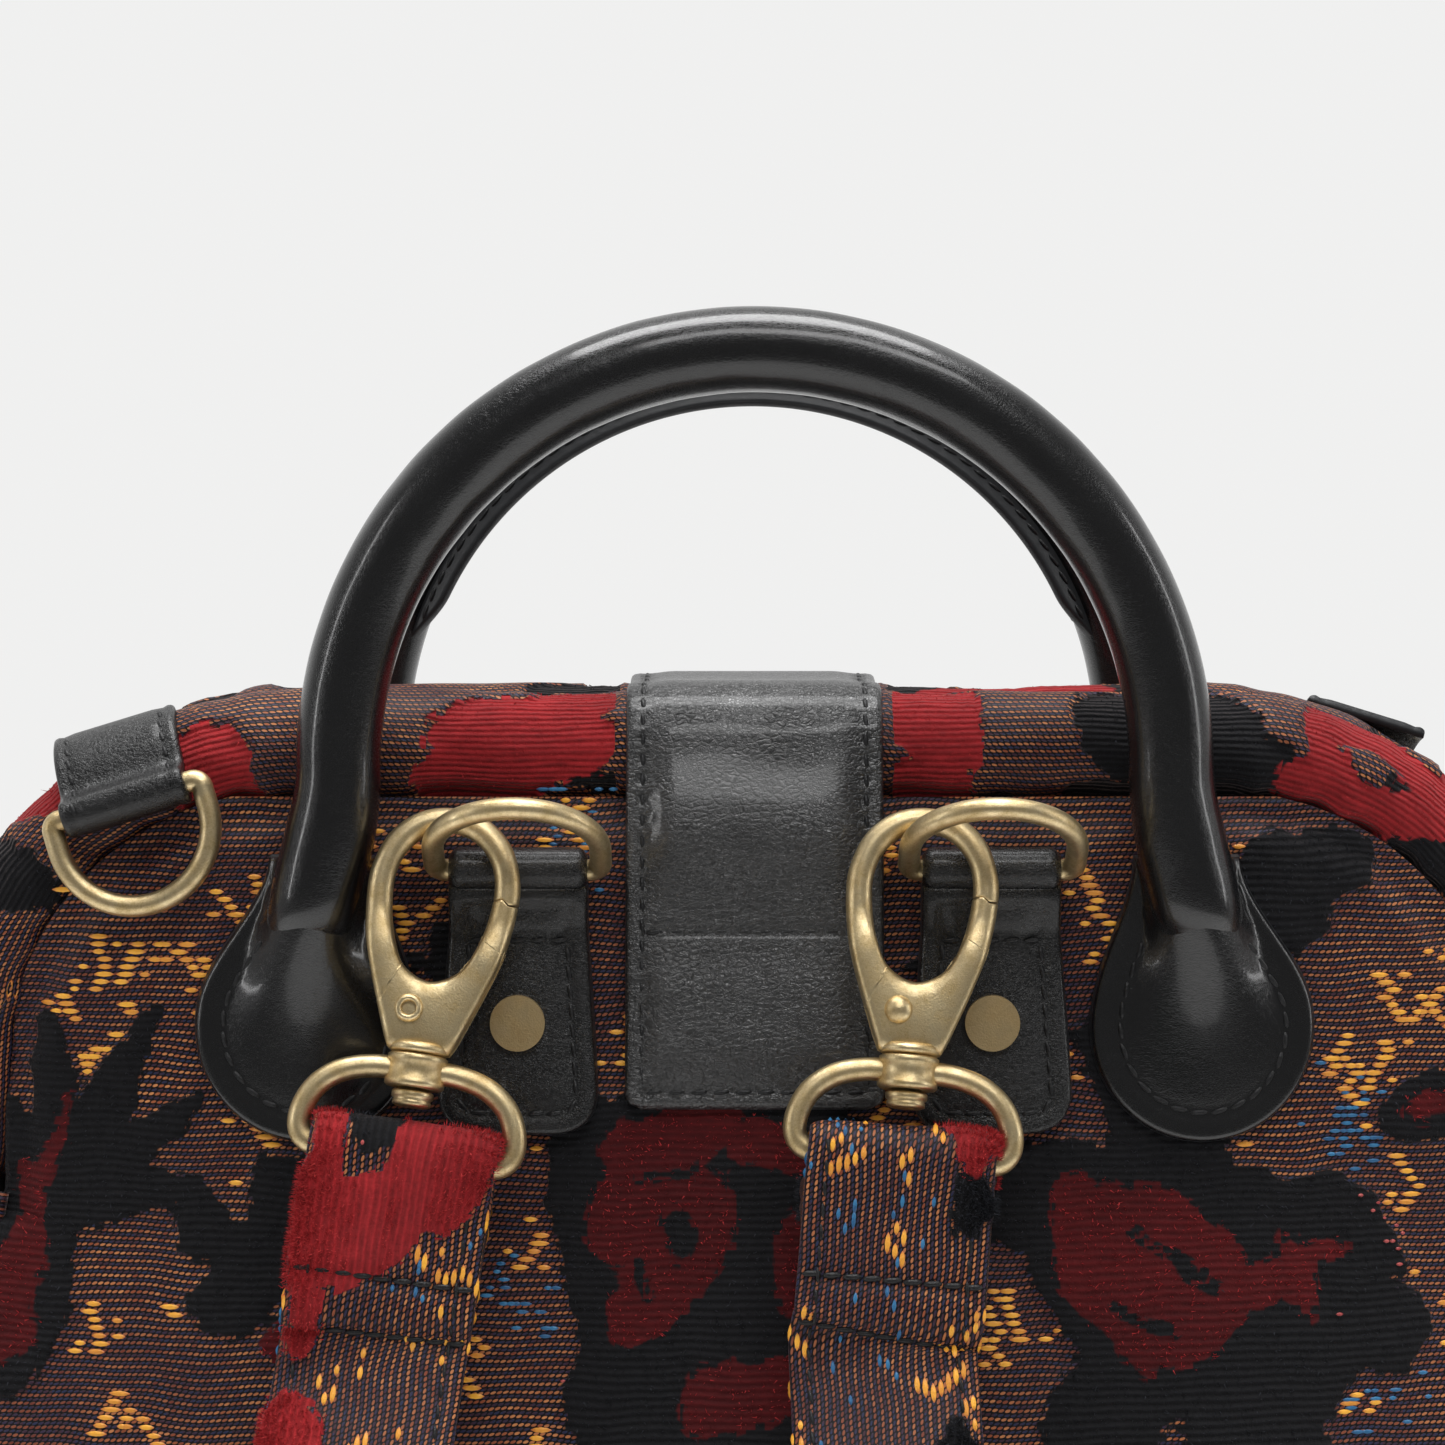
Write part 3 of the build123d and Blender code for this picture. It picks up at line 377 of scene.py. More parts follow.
def pattern(u, v, motifs=TILE, tile=(TILE_W, TILE_H), base=(-134.0, 180.0)):
    """Signed distance in millimetres of the dark and the crimson pile, above zero inside it."""
    u, v = np.asarray(u, float), np.asarray(v, float)
    wu = u + 3.2 * (noise2(u / 9, v / 9, 1) - 0.5) + 1.6 * (noise2(u / 3.1, v / 3.1, 2) - 0.5)
    wv = v + 3.2 * (noise2(u / 9, v / 9, 3) - 0.5) + 1.6 * (noise2(u / 3.1, v / 3.1, 4) - 0.5)
    if tile:
        row = np.floor((wv - base[1]) / tile[1])
        x = wu + (row % 2) * tile[0] * 0.42
        x = (x - base[0]) % tile[0] + base[0]
        y = wv - row * tile[1]
        shifts = [(i * tile[0], j) for j in (-1, 0, 1) for i in (-1, 0, 1)]
    else:
        x, y, shifts = wu, wv, [(0, 0)]
    layers = {key: np.full(u.shape, -9.0) for key in ("black", "red", "cut")}
    for dx, row_shift in shifts:
        for key, shape, values in motifs:
            values = list(values)
            drift = 0.42 * tile[0] * (1 if row_shift else 0) if tile else 0
            move = (dx + drift, row_shift * tile[1]) if tile else (0, 0)
            values[0] += move[0]
            values[1] += move[1]
            if shape == "t":
                values[3] += move[0]
                values[4] += move[1]
                d = taper(x, y, *values)
            else:
                d = ellipse(x, y, *values)
            layers[key] = blend_max(layers[key], d)
    red = np.minimum(layers["red"], -layers["cut"] + 0.3)
    return layers["black"], red


# ---------------------------------------------------------------- floats and fibres


def lens_grid():
    """One raised float: along, across and height at 5 by 3 places, from 0 to 1."""
    along = np.array([-1, -0.62, 0, 0.62, 1.0])
    wide = np.array([0.12, 0.72, 1, 0.72, 0.12])
    p = np.zeros((5, 3, 3))
    for i in range(5):
        for j, s in enumerate((-1, 0, 1)):
            lift = (1 - along[i] ** 2) * (1 if j == 1 else 0.0)
            p[i, j] = (along[i] * 0.5, s * wide[i] * 0.5, lift)
    return p


LENS = lens_grid()
LENS_FACES = grid_faces(5, 3)


def add_floats(mesh, p, uv, n, places, upright=False):
    """Lays raised threads on a cloth grid. places: rows of u, v, length, width, kind, tone."""
    flat_uv = uv.reshape(-1, 2)
    pu = np.gradient(uv, axis=1).reshape(-1, 2)
    pv = np.gradient(uv, axis=0).reshape(-1, 2)
    du = np.gradient(p, axis=1).reshape(-1, 3)
    dv = np.gradient(p, axis=0).reshape(-1, 3)
    flat_p, flat_n = p.reshape(-1, 3), n.reshape(-1, 3)
    for kind in (1, 2, 3):
        rows = places[places[:, 4] == kind]
        if not len(rows):
            continue
        nearest = np.zeros(len(rows), int)
        for k in range(0, len(rows), 64):
            d = ((flat_uv[None] - rows[k : k + 64, None, :2]) ** 2).sum(-1)
            nearest[k : k + 64] = d.argmin(1)
        off = rows[:, :2] - flat_uv[nearest]
        keep = np.abs(off).max(1) < 2.5
        rows, nearest, off = rows[keep], nearest[keep], off[keep]
        det = pu[nearest, 0] * pv[nearest, 1] - pu[nearest, 1] * pv[nearest, 0]
        det = np.where(np.abs(det) < 1e-6, 1e-6, det)[:, None]
        e_u = (du[nearest] * pv[nearest, 1:2] - dv[nearest] * pu[nearest, 1:2]) / det
        e_v = (dv[nearest] * pu[nearest, 0:1] - du[nearest] * pv[nearest, 0:1]) / det
        centre = flat_p[nearest] + e_u * off[:, :1] + e_v * off[:, 1:]
        # past a seam the slope is no guide, so a thread that leaves the cloth is left out
        on = np.linalg.norm(centre - flat_p[nearest], axis=1) < 2.0
        rows, nearest, centre, e_u, e_v = rows[on], nearest[on], centre[on], e_u[on], e_v[on]
        if not len(rows):
            continue
        e_u, e_v = unit(e_u), unit(e_v)
        if upright:
            e_u, e_v = e_v, -e_u
        q = (
            centre[:, None, None]
            + e_u[:, None, None] * LENS[None, ..., 0:1] * rows[:, 2][:, None, None, None]
            + e_v[:, None, None] * LENS[None, ..., 1:2] * rows[:, 3][:, None, None, None]
            + flat_n[nearest][:, None, None] * (LENS[None, ..., 2:3] * 0.42 + 0.04)
        )
        count = len(rows)
        faces = (LENS_FACES[None] + 15 * np.arange(count)[:, None, None]).reshape(-1, 4)
        tone = np.repeat(rows[:, 5], 15)
        # painted shade: nearness to the float's ends, where the yarn colour is darkened
        ends = np.tile(np.abs(LENS[..., 0].ravel()) * 2, count)
        fields = np.stack([np.full(len(tone), -9.0), ends, tone], axis=1)
        mesh.add(q, faces, fields=fields, kind=kind)


def float_places(black, red, uv, chains, blues, dots, upright=False):
    """Chains of gold floats, clouds of blue ones and specks of rose, kept off the pile."""
    rows = []
    lo, hi = uv.reshape(-1, 2).min(0), uv.reshape(-1, 2).max(0)
    pitch = 1.32

    def put(u, v, length, width, kind, tone):
        rows.append((v, u, length, width, kind, tone) if upright else (u, v, length, width, kind, tone))

    if upright:
        lo, hi = lo[::-1], hi[::-1]
    for _ in range(chains):
        u, v = rng.uniform(lo[0], hi[0]), rng.uniform(lo[1], hi[1])
        v = round(v / pitch) * pitch
        drift = rng.choice([-1, 1]) * rng.uniform(0.5, 1.5)
        for k in range(rng.integers(3, 9)):
            put(u + rng.uniform(-0.3, 0.3), v, rng.uniform(2.4, 3.9), 0.95, 1, rng.random())
            if rng.random() < 0.35:
                put(
                    u + rng.choice([-1, 1]) * rng.uniform(3.4, 4.4),
                    v,
                    rng.uniform(1.8, 3.0),
                    0.9,
                    1,
                    rng.random(),
                )
            u += drift
            v -= pitch
            if rng.random() < 0.18:
                drift = -drift
    for _ in range(blues):
        cu, cv = rng.uniform(lo[0], hi[0]), rng.uniform(lo[1], hi[1])
        for _ in range(rng.integers(10, 24)):
            u, v = cu + rng.normal(0, 4.2), cv + rng.normal(0, 3.6)
            put(u, round(v / pitch) * pitch + 0.6, rng.uniform(1.4, 2.6), 0.72, 2, rng.random())
    for _ in range(dots):
        cu, cv = rng.uniform(lo[0], hi[0]), rng.uniform(lo[1], hi[1])
        for _ in range(rng.integers(8, 22)):
            u, v = cu + rng.normal(0, 3.0), cv + rng.normal(0, 3.6)
            put(round(u / 1.1) * 1.1, round(v / pitch) * pitch, rng.uniform(0.8, 1.3), 0.62, 3, rng.random())
    rows = np.array(rows, float)
    flat = uv.reshape(-1, 2)
    pile = np.maximum(black, red).ravel()
    keep = np.zeros(len(rows), bool)
    for k in range(0, len(rows), 64):
        near = ((flat[None] - rows[k : k + 64, None, :2]) ** 2).sum(-1).argmin(1)
        on_pile = pile[near]
        kind = rows[k : k + 64, 4]
        keep[k : k + 64] = np.where(kind == 3, (on_pile > -1.5) & (on_pile < 2.0), on_pile < -1.0)
    return rows[keep]


def pile_height(black, red, u, v, height=0.95):
    """How far the cut pile stands above the ground weave."""
    jag = 0.5 * (noise2(u / 0.9, np.floor(v / 1.32), 5) - 0.5)
    edge = ease((np.maximum(black, red) + 0.25 + jag) / 0.9)
    rib = 0.5 + 0.5 * np.cos(2 * np.pi * v / 2.64)
    tuft = noise2(u / 1.3, v / 1.3, 6)
    return height * edge * (0.72 + 0.16 * rib + 0.24 * tuft)


def add_fibres(mesh, p, n, black, red, count, length=1.3, where=None):
    """Short hairs of the pile, for its fuzzy outline."""
    flat_p, flat_n = p.reshape(-1, 3), n.reshape(-1, 3)
    b, r = black.ravel(), red.ravel()
    weight = (np.maximum(b, r) > 0.1).astype(float)
    if where is not None:
        weight *= where.ravel()
    if weight.sum() < 1:
        return
    pick = rng.choice(len(weight), size=count, p=weight / weight.sum())
    root = flat_p[pick] + rng.normal(0, 0.55, (count, 3))
    way = unit(flat_n[pick] + rng.normal(0, 0.42, (count, 3)))
    side = unit(np.cross(way, rng.normal(0, 1, (count, 3)))) * rng.uniform(0.07, 0.13, (count, 1))
    root -= flat_n[pick] * ((root - flat_p[pick]) * flat_n[pick]).sum(1, keepdims=True)
    tip = root + way * rng.uniform(0.55, 1.0, (count, 1)) * length
    q = np.stack([root - side, root + side, tip], axis=1)
    kind = np.where(r[pick] > 0.1, 5, 4)
    fields = np.full((3 * count, 3), (-9.0, -9.0, 0.5))
    fields[:, 2] = np.repeat(rng.random(count), 3)
    for k in (4, 5):
        use = kind == k
        if use.any():
            mesh.add(
                q[use],
                np.arange(3 * use.sum()).reshape(-1, 3),
                fields=fields.reshape(-1, 3, 3)[use],
                kind=k,
            )


# ---------------------------------------------------------------- materials


class Nodes:
    """Short calls for building one material's node tree."""

    def __init__(self, name):
        self.material = bpy.data.materials.new(name)
        self.material.use_nodes = True
        self.tree = self.material.node_tree
        self.shader = self.tree.nodes["Principled BSDF"]

    def put(self, kind, **settings):
        node = self.tree.nodes.new(kind)
        for key, value in settings.items():
            setattr(node, key, value)
        return node

    def link(self, value, socket):
        if isinstance(value, bpy.types.NodeSocket):
            self.tree.links.new(value, socket)
        else:
            socket.default_value = value
        return socket

    def math(self, op, a, b=0.0, c=0.0, clamp=False):
        node = self.put("ShaderNodeMath", operation=op, use_clamp=clamp)
        for value, socket in zip((a, b, c), node.inputs):
            self.link(value, socket)
        return node.outputs[0]

    def mix(self, factor, a, b):
        node = self.put("ShaderNodeMix", data_type="RGBA")
        self.link(factor, node.inputs[0])
        for value, socket in ((a, node.inputs[6]), (b, node.inputs[7])):
            self.link(value if isinstance(value, bpy.types.NodeSocket) else (*value, 1), socket)
        return node.outputs[2]

    def vector(self, x, y, z=0.0):
        node = self.put("ShaderNodeCombineXYZ")
        for value, socket in zip((x, y, z), node.inputs):
            self.link(value, socket)
        return node.outputs[0]

    def noise(self, vector, scale, detail=2.0, rough=0.5):
        node = self.put("ShaderNodeTexNoise")
        self.link(vector, node.inputs["Vector"])
        node.inputs["Scale"].default_value = scale
        node.inputs["Detail"].default_value = detail
        node.inputs["Roughness"].default_value = rough
        return node.outputs["Fac"]

    def white(self, vector):
        node = self.put("ShaderNodeTexWhiteNoise", noise_dimensions="3D")
        self.link(vector, node.inputs["Vector"])
        return node.outputs["Value"]

    def attribute(self, name):
        return self.put("ShaderNodeAttribute", attribute_name=name).outputs["Fac"]

    def uv_mm(self):
        split = self.put("ShaderNodeSeparateXYZ")
        self.tree.links.new(self.put("ShaderNodeUVMap", uv_map="cloth").outputs[0], split.inputs[0])
        return self.math("MULTIPLY", split.outputs[0], 100.0), self.math("MULTIPLY", split.outputs[1], 100.0)

    def place_mm(self):
        """The place in the object, in millimetres."""
        node = self.put("ShaderNodeVectorMath", operation="SCALE")
        self.tree.links.new(self.put("ShaderNodeTexCoord").outputs["Object"], node.inputs[0])
        node.inputs["Scale"].default_value = 1000.0
        return node.outputs[0]

    def bump(self, height, depth, strength=1.0, under=None):
        node = self.put("ShaderNodeBump")
        self.link(height, node.inputs["Height"])
        node.inputs["Distance"].default_value = depth * MM
        node.inputs["Strength"].default_value = strength
        if under is not None:
            self.tree.links.new(under, node.inputs["Normal"])
        return node.outputs[0]

    def finish(self, **values):
        names = {
            "color": "Base Color",
            "rough": "Roughness",
            "metal": "Metallic",
            "normal": "Normal",
            "coat": "Coat Weight",
            "coat_rough": "Coat Roughness",
            "specular": "Specular IOR Level",
            "sheen": "Sheen Weight",
            "sheen_rough": "Sheen Roughness",
            "sheen_tint": "Sheen Tint",
            "aniso": "Anisotropic",
        }
        for key, value in values.items():
            socket = self.shader.inputs[names[key]]
            if isinstance(value, tuple):
                value = (*value, 1)
            self.link(value, socket)
        return self.material


def carpet_material(name):
    """Ribbed ground weave of orange and navy dashes, with dark and crimson cut pile."""
    g = Nodes(name)
    u, v = g.uv_mm()
    flat = g.vector(u, v)
    wave = g.noise(flat, 0.055, 1.0)
    v2 = g.math("ADD", v, g.math("MULTIPLY", wave, 2.4))
    r = g.math("DIVIDE", v2, 1.32)
    row = g.math("FLOOR", r)
    f = g.math("FRACT", r)
    c = g.math("ADD", g.math("DIVIDE", u, 1.09), g.math("MULTIPLY", row, 0.37))
    cell = g.math("FLOOR", c)

    def dashes(phase, half, level, tall):
        across = g.math("SUBTRACT", g.math("FRACT", g.math("ADD", c, phase)), 0.5)
        slant = g.math("MULTIPLY", across, 0.20)
        up = g.math("SUBTRACT", g.math("SUBTRACT", f, level), slant)
        a = g.math("DIVIDE", across, half)
        b = g.math("DIVIDE", up, tall)
        d = g.math("ADD", g.math("MULTIPLY", a, a), g.math("MULTIPLY", b, b))
        return g.math("MULTIPLY", g.math("SUBTRACT", 1.0, d), 2.6, clamp=True)

    orange, navy = dashes(0.0, 0.50, 0.30, 0.20), dashes(0.5, 0.50, 0.78, 0.17)
    pick = g.white(g.vector(cell, row))
    pick2 = g.white(g.vector(g.math("ADD", cell, 31.0), row))
    region = g.noise(flat, 0.03, 2.0)
    bright = g.math("MULTIPLY", g.math("SUBTRACT", region, 0.36), 3.2, clamp=True)
    orange_c = g.mix(pick, (0.62, 0.25, 0.09), (0.30, 0.07, 0.026))
    orange_c = g.mix(bright, g.mix(pick, (0.26, 0.075, 0.035), (0.12, 0.026, 0.018)), orange_c)
    navy_c = g.mix(pick2, (0.018, 0.026, 0.07), (0.05, 0.018, 0.03))
    ground = g.mix(orange, g.mix(navy, (0.004, 0.0025, 0.004), navy_c), orange_c)
    # cut pile: its edge steps with the rows of the weave
    block = g.white(g.vector(g.math("FLOOR", g.math("DIVIDE", u, 1.6)), row))
    jag = g.math("MULTIPLY", g.math("SUBTRACT", block, 0.5), 1.3)
    rib = g.math(
        "ADD", g.math("MULTIPLY", g.math("COSINE", g.math("MULTIPLY", v2, 2 * math.pi / 1.32)), 0.5), 0.5
    )
    fuzz = g.noise(flat, 1.1, 2.0)
    fine = g.noise(flat, 3.4, 1.0)
    black_m = g.math(
        "MULTIPLY", g.math("ADD", g.attribute("black"), g.math("ADD", jag, 0.1)), 3.0, clamp=True
    )
    red_m = g.math("MULTIPLY", g.math("ADD", g.attribute("red"), jag), 3.0, clamp=True)
    pile = g.math("MAXIMUM", black_m, red_m)
    # painted shade: the pile colour darkens in the valleys between its ribs; the fuzz noise adds random tone
    shade = g.math(
        "MULTIPLY",
        g.math("ADD", g.math("MULTIPLY", rib, 0.55), g.math("MULTIPLY", fuzz, 0.75)),
        0.85,
        clamp=True,
    )
    # painted light: the crimson pile is painted darker down the bag and lighter on the rolls and straps,
    # standing in for the light that the up-facing pile catches there; the streaks add tone that differs at
    # random
    nap_tone_and_painted_light = g.attribute("tone")
    streak = g.noise(g.vector(g.math("MULTIPLY", u, 0.25), g.math("MULTIPLY", v2, 0.9)), 0.9, 3.0)
    pile_streaks_and_painted_light = g.math(
        "MULTIPLY",
        g.math("ADD", g.math("MULTIPLY", streak, 0.8), g.math("MULTIPLY", shade, 0.55)),
        nap_tone_and_painted_light,
        clamp=True,
    )
    red_c = g.mix(pile_streaks_and_painted_light, (0.013, 0.0015, 0.002), (0.40, 0.022, 0.026))
    black_c = g.mix(shade, (0.0022, 0.0022, 0.0027), (0.011, 0.011, 0.013))
    color = g.mix(pile, ground, g.mix(red_m, black_c, red_c))
    rough = g.math("ADD", 0.52, g.math("MULTIPLY", pile, 0.42))
    relief = g.math("ADD", g.math("MULTIPLY", orange, 0.5), g.math("MULTIPLY", navy, 0.3))
    tufts = g.math(
        "ADD",
        g.math("MULTIPLY", rib, 0.55),
        g.math("ADD", g.math("MULTIPLY", fuzz, 0.5), g.math("MULTIPLY", fine, 0.3)),
    )
    height = g.math(
        "ADD", g.math("MULTIPLY", relief, g.math("SUBTRACT", 1.0, pile)), g.math("MULTIPLY", tufts, pile)
    )
    normal = g.bump(height, 0.55)
    return g.finish(
        color=color, rough=rough, normal=normal, specular=0.25, sheen=0.12, sheen_rough=0.35, sheen_tint=(
            0.9, 0.72, 0.70
        )
    )


def thread_material(name, light, dark, tip, rough=0.36):
    """One silky yarn, with painted shade darkening both ends of each float, where it dips into the weave."""
    g = Nodes(name)
    tone, end = g.attribute("tone"), g.attribute("red")
    color = g.mix(tone, light, dark)
    # painted shade: the tip colour darkens the ends of each float
    color = g.mix(g.math("MULTIPLY", g.math("SUBTRACT", end, 0.45), 1.6, clamp=True), color, tip)
    ply = g.noise(g.place_mm(), 2.2, 1.0)
    return g.finish(color=color, rough=rough, specular=0.4, normal=g.bump(ply, 0.15))


def fibre_material(name, root, tip):
    # partly painted highlight: the lighter second colour stands in for light catching the fuzz, and each hair
    # takes a random tone between the two
    g = Nodes(name)
    return g.finish(
        color=g.mix(g.attribute("tone"), root, tip),
        rough=0.8,
        specular=0.15,
        sheen=0.4,
        sheen_rough=0.4,
        sheen_tint=tip,
    )


def leather_material(
    name,
    grain=1.55,
    depth=0.16,
    rough=0.3,
    base=(0.0035, 0.0035, 0.0038),
    crease=0.35,
    by_uv=False,
    coat=0.35,
    specular=0.5,
):
    """Glossy black leather: pebbled grain, fine cross creases, uneven polish."""
    g = Nodes(name)
    if by_uv:
        u, v = g.uv_mm()
        place = g.vector(u, v)
    else:
        place = g.place_mm()
    warp = g.put("ShaderNodeVectorMath", operation="ADD")
    twist = g.put("ShaderNodeTexNoise")
    g.link(place, twist.inputs["Vector"])
    twist.inputs["Scale"].default_value = 0.8
    soft = g.put("ShaderNodeVectorMath", operation="SCALE")
    g.tree.links.new(twist.outputs["Color"], soft.inputs[0])
    soft.inputs["Scale"].default_value = 0.9
    g.link(place, warp.inputs[0])
    g.tree.links.new(soft.outputs[0], warp.inputs[1])
    stretch = g.put("ShaderNodeMapping")
    g.link(warp.outputs[0], stretch.inputs["Vector"])
    stretch.inputs["Scale"].default_value = (0.62, 1.0, 1.0) if by_uv else (0.62, 0.62, 1.0)
    cells = g.put("ShaderNodeTexVoronoi", feature="DISTANCE_TO_EDGE")
    g.tree.links.new(stretch.outputs[0], cells.inputs["Vector"])
    cells.inputs["Scale"].default_value = grain
    folds = g.math("POWER", g.math("MULTIPLY", cells.outputs["Distance"], 3.2, clamp=True), 0.6)
    fine = g.put("ShaderNodeTexVoronoi", feature="DISTANCE_TO_EDGE")
    g.tree.links.new(warp.outputs[0], fine.inputs["Vector"])
    fine.inputs["Scale"].default_value = 2.1 * grain
    pebble = g.math("MULTIPLY", fine.outputs["Distance"], 5.0, clamp=True)
    patches = g.math("MULTIPLY", g.math("SUBTRACT", g.noise(place, 0.12, 2.0), 0.25), 2.0, clamp=True)
    broad = g.noise(place, 0.075, 2.0)
    height = g.math(
        "ADD",
        g.math("MULTIPLY", pebble, 0.25),
        g.math("MULTIPLY", g.math("MULTIPLY", folds, patches), crease),
    )
    normal = g.bump(height, depth)
    gloss = g.math("ADD", rough - 0.06, g.math("MULTIPLY", broad, 0.12))
    gloss = g.math("ADD", gloss, g.math("MULTIPLY", g.math("SUBTRACT", 1.0, pebble), 0.12))
    color = g.mix(broad, base, tuple(1.7 * x for x in base))
    return g.finish(color=color, rough=gloss, normal=normal, specular=specular, coat=coat, coat_rough=0.13)


def edge_material(name):
    """The painted edge of the leather: dark grey, waxy, slightly uneven."""
    g = Nodes(name)
    place = g.place_mm()
    wobble = g.noise(place, 0.5, 2.0)
    fine = g.noise(place, 3.0, 1.0)
    color = g.mix(wobble, (0.010, 0.0105, 0.012), (0.020, 0.021, 0.023))
    return g.finish(
        color=color,
        rough=g.math("ADD", 0.33, g.math("MULTIPLY", fine, 0.2)),
        normal=g.bump(wobble, 0.12),
        specular=0.45,
    )


def stitch_material(name):
    g = Nodes(name)
    place = g.place_mm()
    ply = g.noise(place, 2.6, 1.0)
    color = g.mix(ply, (0.004, 0.004, 0.0045), (0.014, 0.014, 0.015))
    return g.finish(color=color, rough=0.42, normal=g.bump(ply, 0.12), specular=0.4)


def brass_material(name, rough=0.30, light=(0.93, 0.76, 0.46), dark=(0.48, 0.34, 0.15), speck=0.5):
    """Antique brass: worn bright on top of brown patina, with fine specks."""
    g = Nodes(name)
    place = g.place_mm()
    cloud = g.noise(place, 0.32, 3.0, 0.6)
    grit = g.noise(place, 3.2, 2.0, 0.7)
    wear = g.math(
        "MULTIPLY",
        g.math(
            "SUBTRACT", g.math("ADD", g.math("MULTIPLY", cloud, 0.7), g.math("MULTIPLY", grit, 0.45)), 0.36
        ),
        2.4,
        clamp=True,
    )
    color = g.mix(wear, dark, light)
    spots = g.math("MULTIPLY", g.math("SUBTRACT", grit, 0.60), 5.0, clamp=True)
    color = g.mix(g.math("MULTIPLY", spots, speck), color, (0.10, 0.062, 0.022))
    tarnish = g.math("SUBTRACT", 1.0, wear)
    gloss = g.math("ADD", rough, g.math("MULTIPLY", tarnish, 0.22))
    return g.finish(color=color, rough=gloss, metal=1.0, normal=g.bump(grit, 0.05))


def steel_material(name, color=(0.42, 0.42, 0.43), rough=0.35):
    g = Nodes(name)
    place = g.place_mm()
    brush = g.noise(place, 1.2, 3.0)
    return g.finish(
        color=g.mix(brush, color, tuple(0.8 * x for x in color)),
        rough=g.math("ADD", rough, g.math("MULTIPLY", brush, 0.12)),
        metal=1.0,
        normal=g.bump(brush, 0.03),
    )


def lining_material(name):
    """Thin plain-woven polyester, wine brown."""
    g = Nodes(name)
    u, v = g.uv_mm()
    warp = g.math("SINE", g.math("MULTIPLY", u, 2 * math.pi / 0.55))
    weft = g.math("SINE", g.math("MULTIPLY", v, 2 * math.pi / 0.55))
    weave = g.math("ADD", g.math("MULTIPLY", g.math("MULTIPLY", warp, weft), 0.5), 0.5)
    cloud = g.noise(g.vector(u, v), 0.05, 2.0)
    color = g.mix(weave, (0.070, 0.032, 0.030), (0.120, 0.058, 0.052))
    color = g.mix(g.math("MULTIPLY", cloud, 0.5), color, (0.085, 0.04, 0.036))
    return g.finish(
        color=color, rough=0.62, normal=g.bump(weave, 0.08), specular=0.3, sheen=0.15, sheen_rough=0.5
    )


def board_material(name):
    g = Nodes(name)
    place = g.place_mm()
    pulp = g.noise(place, 0.9, 4.0, 0.7)
    color = g.mix(pulp, (0.12, 0.085, 0.055), (0.20, 0.15, 0.10))
    return g.finish(color=color, rough=0.85, normal=g.bump(pulp, 0.1))


carpet = carpet_material("carpet_cloth")
# the third colour of each yarn is painted shade at the ends of its floats
gold = thread_material("gold_thread", (0.95, 0.46, 0.045), (0.70, 0.27, 0.035), (0.46, 0.09, 0.03))
blue = thread_material("blue_thread", (0.035, 0.20, 0.40), (0.02, 0.10, 0.23), (0.03, 0.06, 0.15))
rose = thread_material("rose_thread", (0.58, 0.12, 0.11), (0.36, 0.05, 0.05), (0.25, 0.03, 0.03))
# the lighter second colour of each hair is a painted highlight of the lit fuzz
dark_fibre = fibre_material("dark_pile_hair", (0.010, 0.010, 0.012), (0.035, 0.037, 0.045))
red_fibre = fibre_material("crimson_pile_hair", (0.24, 0.010, 0.014), (0.50, 0.045, 0.045))
CLOTH = [carpet, gold, blue, rose, dark_fibre, red_fibre]
leather = leather_material("black_leather", grain=1.25, depth=0.13, rough=0.26, crease=0.8, coat=0.25)
strap_leather = leather_material(
    "closure_leather", grain=0.95, depth=0.20, rough=0.33, crease=1.3, by_uv=True, coat=0.3, specular=1.0
)
handle_leather = leather_material("handle_leather", grain=1.25, depth=0.045, rough=0.17, crease=0.6, coat=0.5)
edge_paint = edge_material("edge_paint")
stitch = stitch_material("black_thread")
brass = brass_material("antique_brass")
cap_brass = brass_material(
    "rivet_brass", rough=0.34, light=(0.72, 0.55, 0.30), dark=(0.46, 0.32, 0.15), speck=0.3
)
steel = steel_material("frame_steel")
nickel = steel_material("magnet_plate", (0.6, 0.6, 0.58), 0.25)
lining_cloth = lining_material("lining_cloth")
board = board_material("board")
foam = board_material("cord_core")


# ---------------------------------------------------------------- cloth pieces


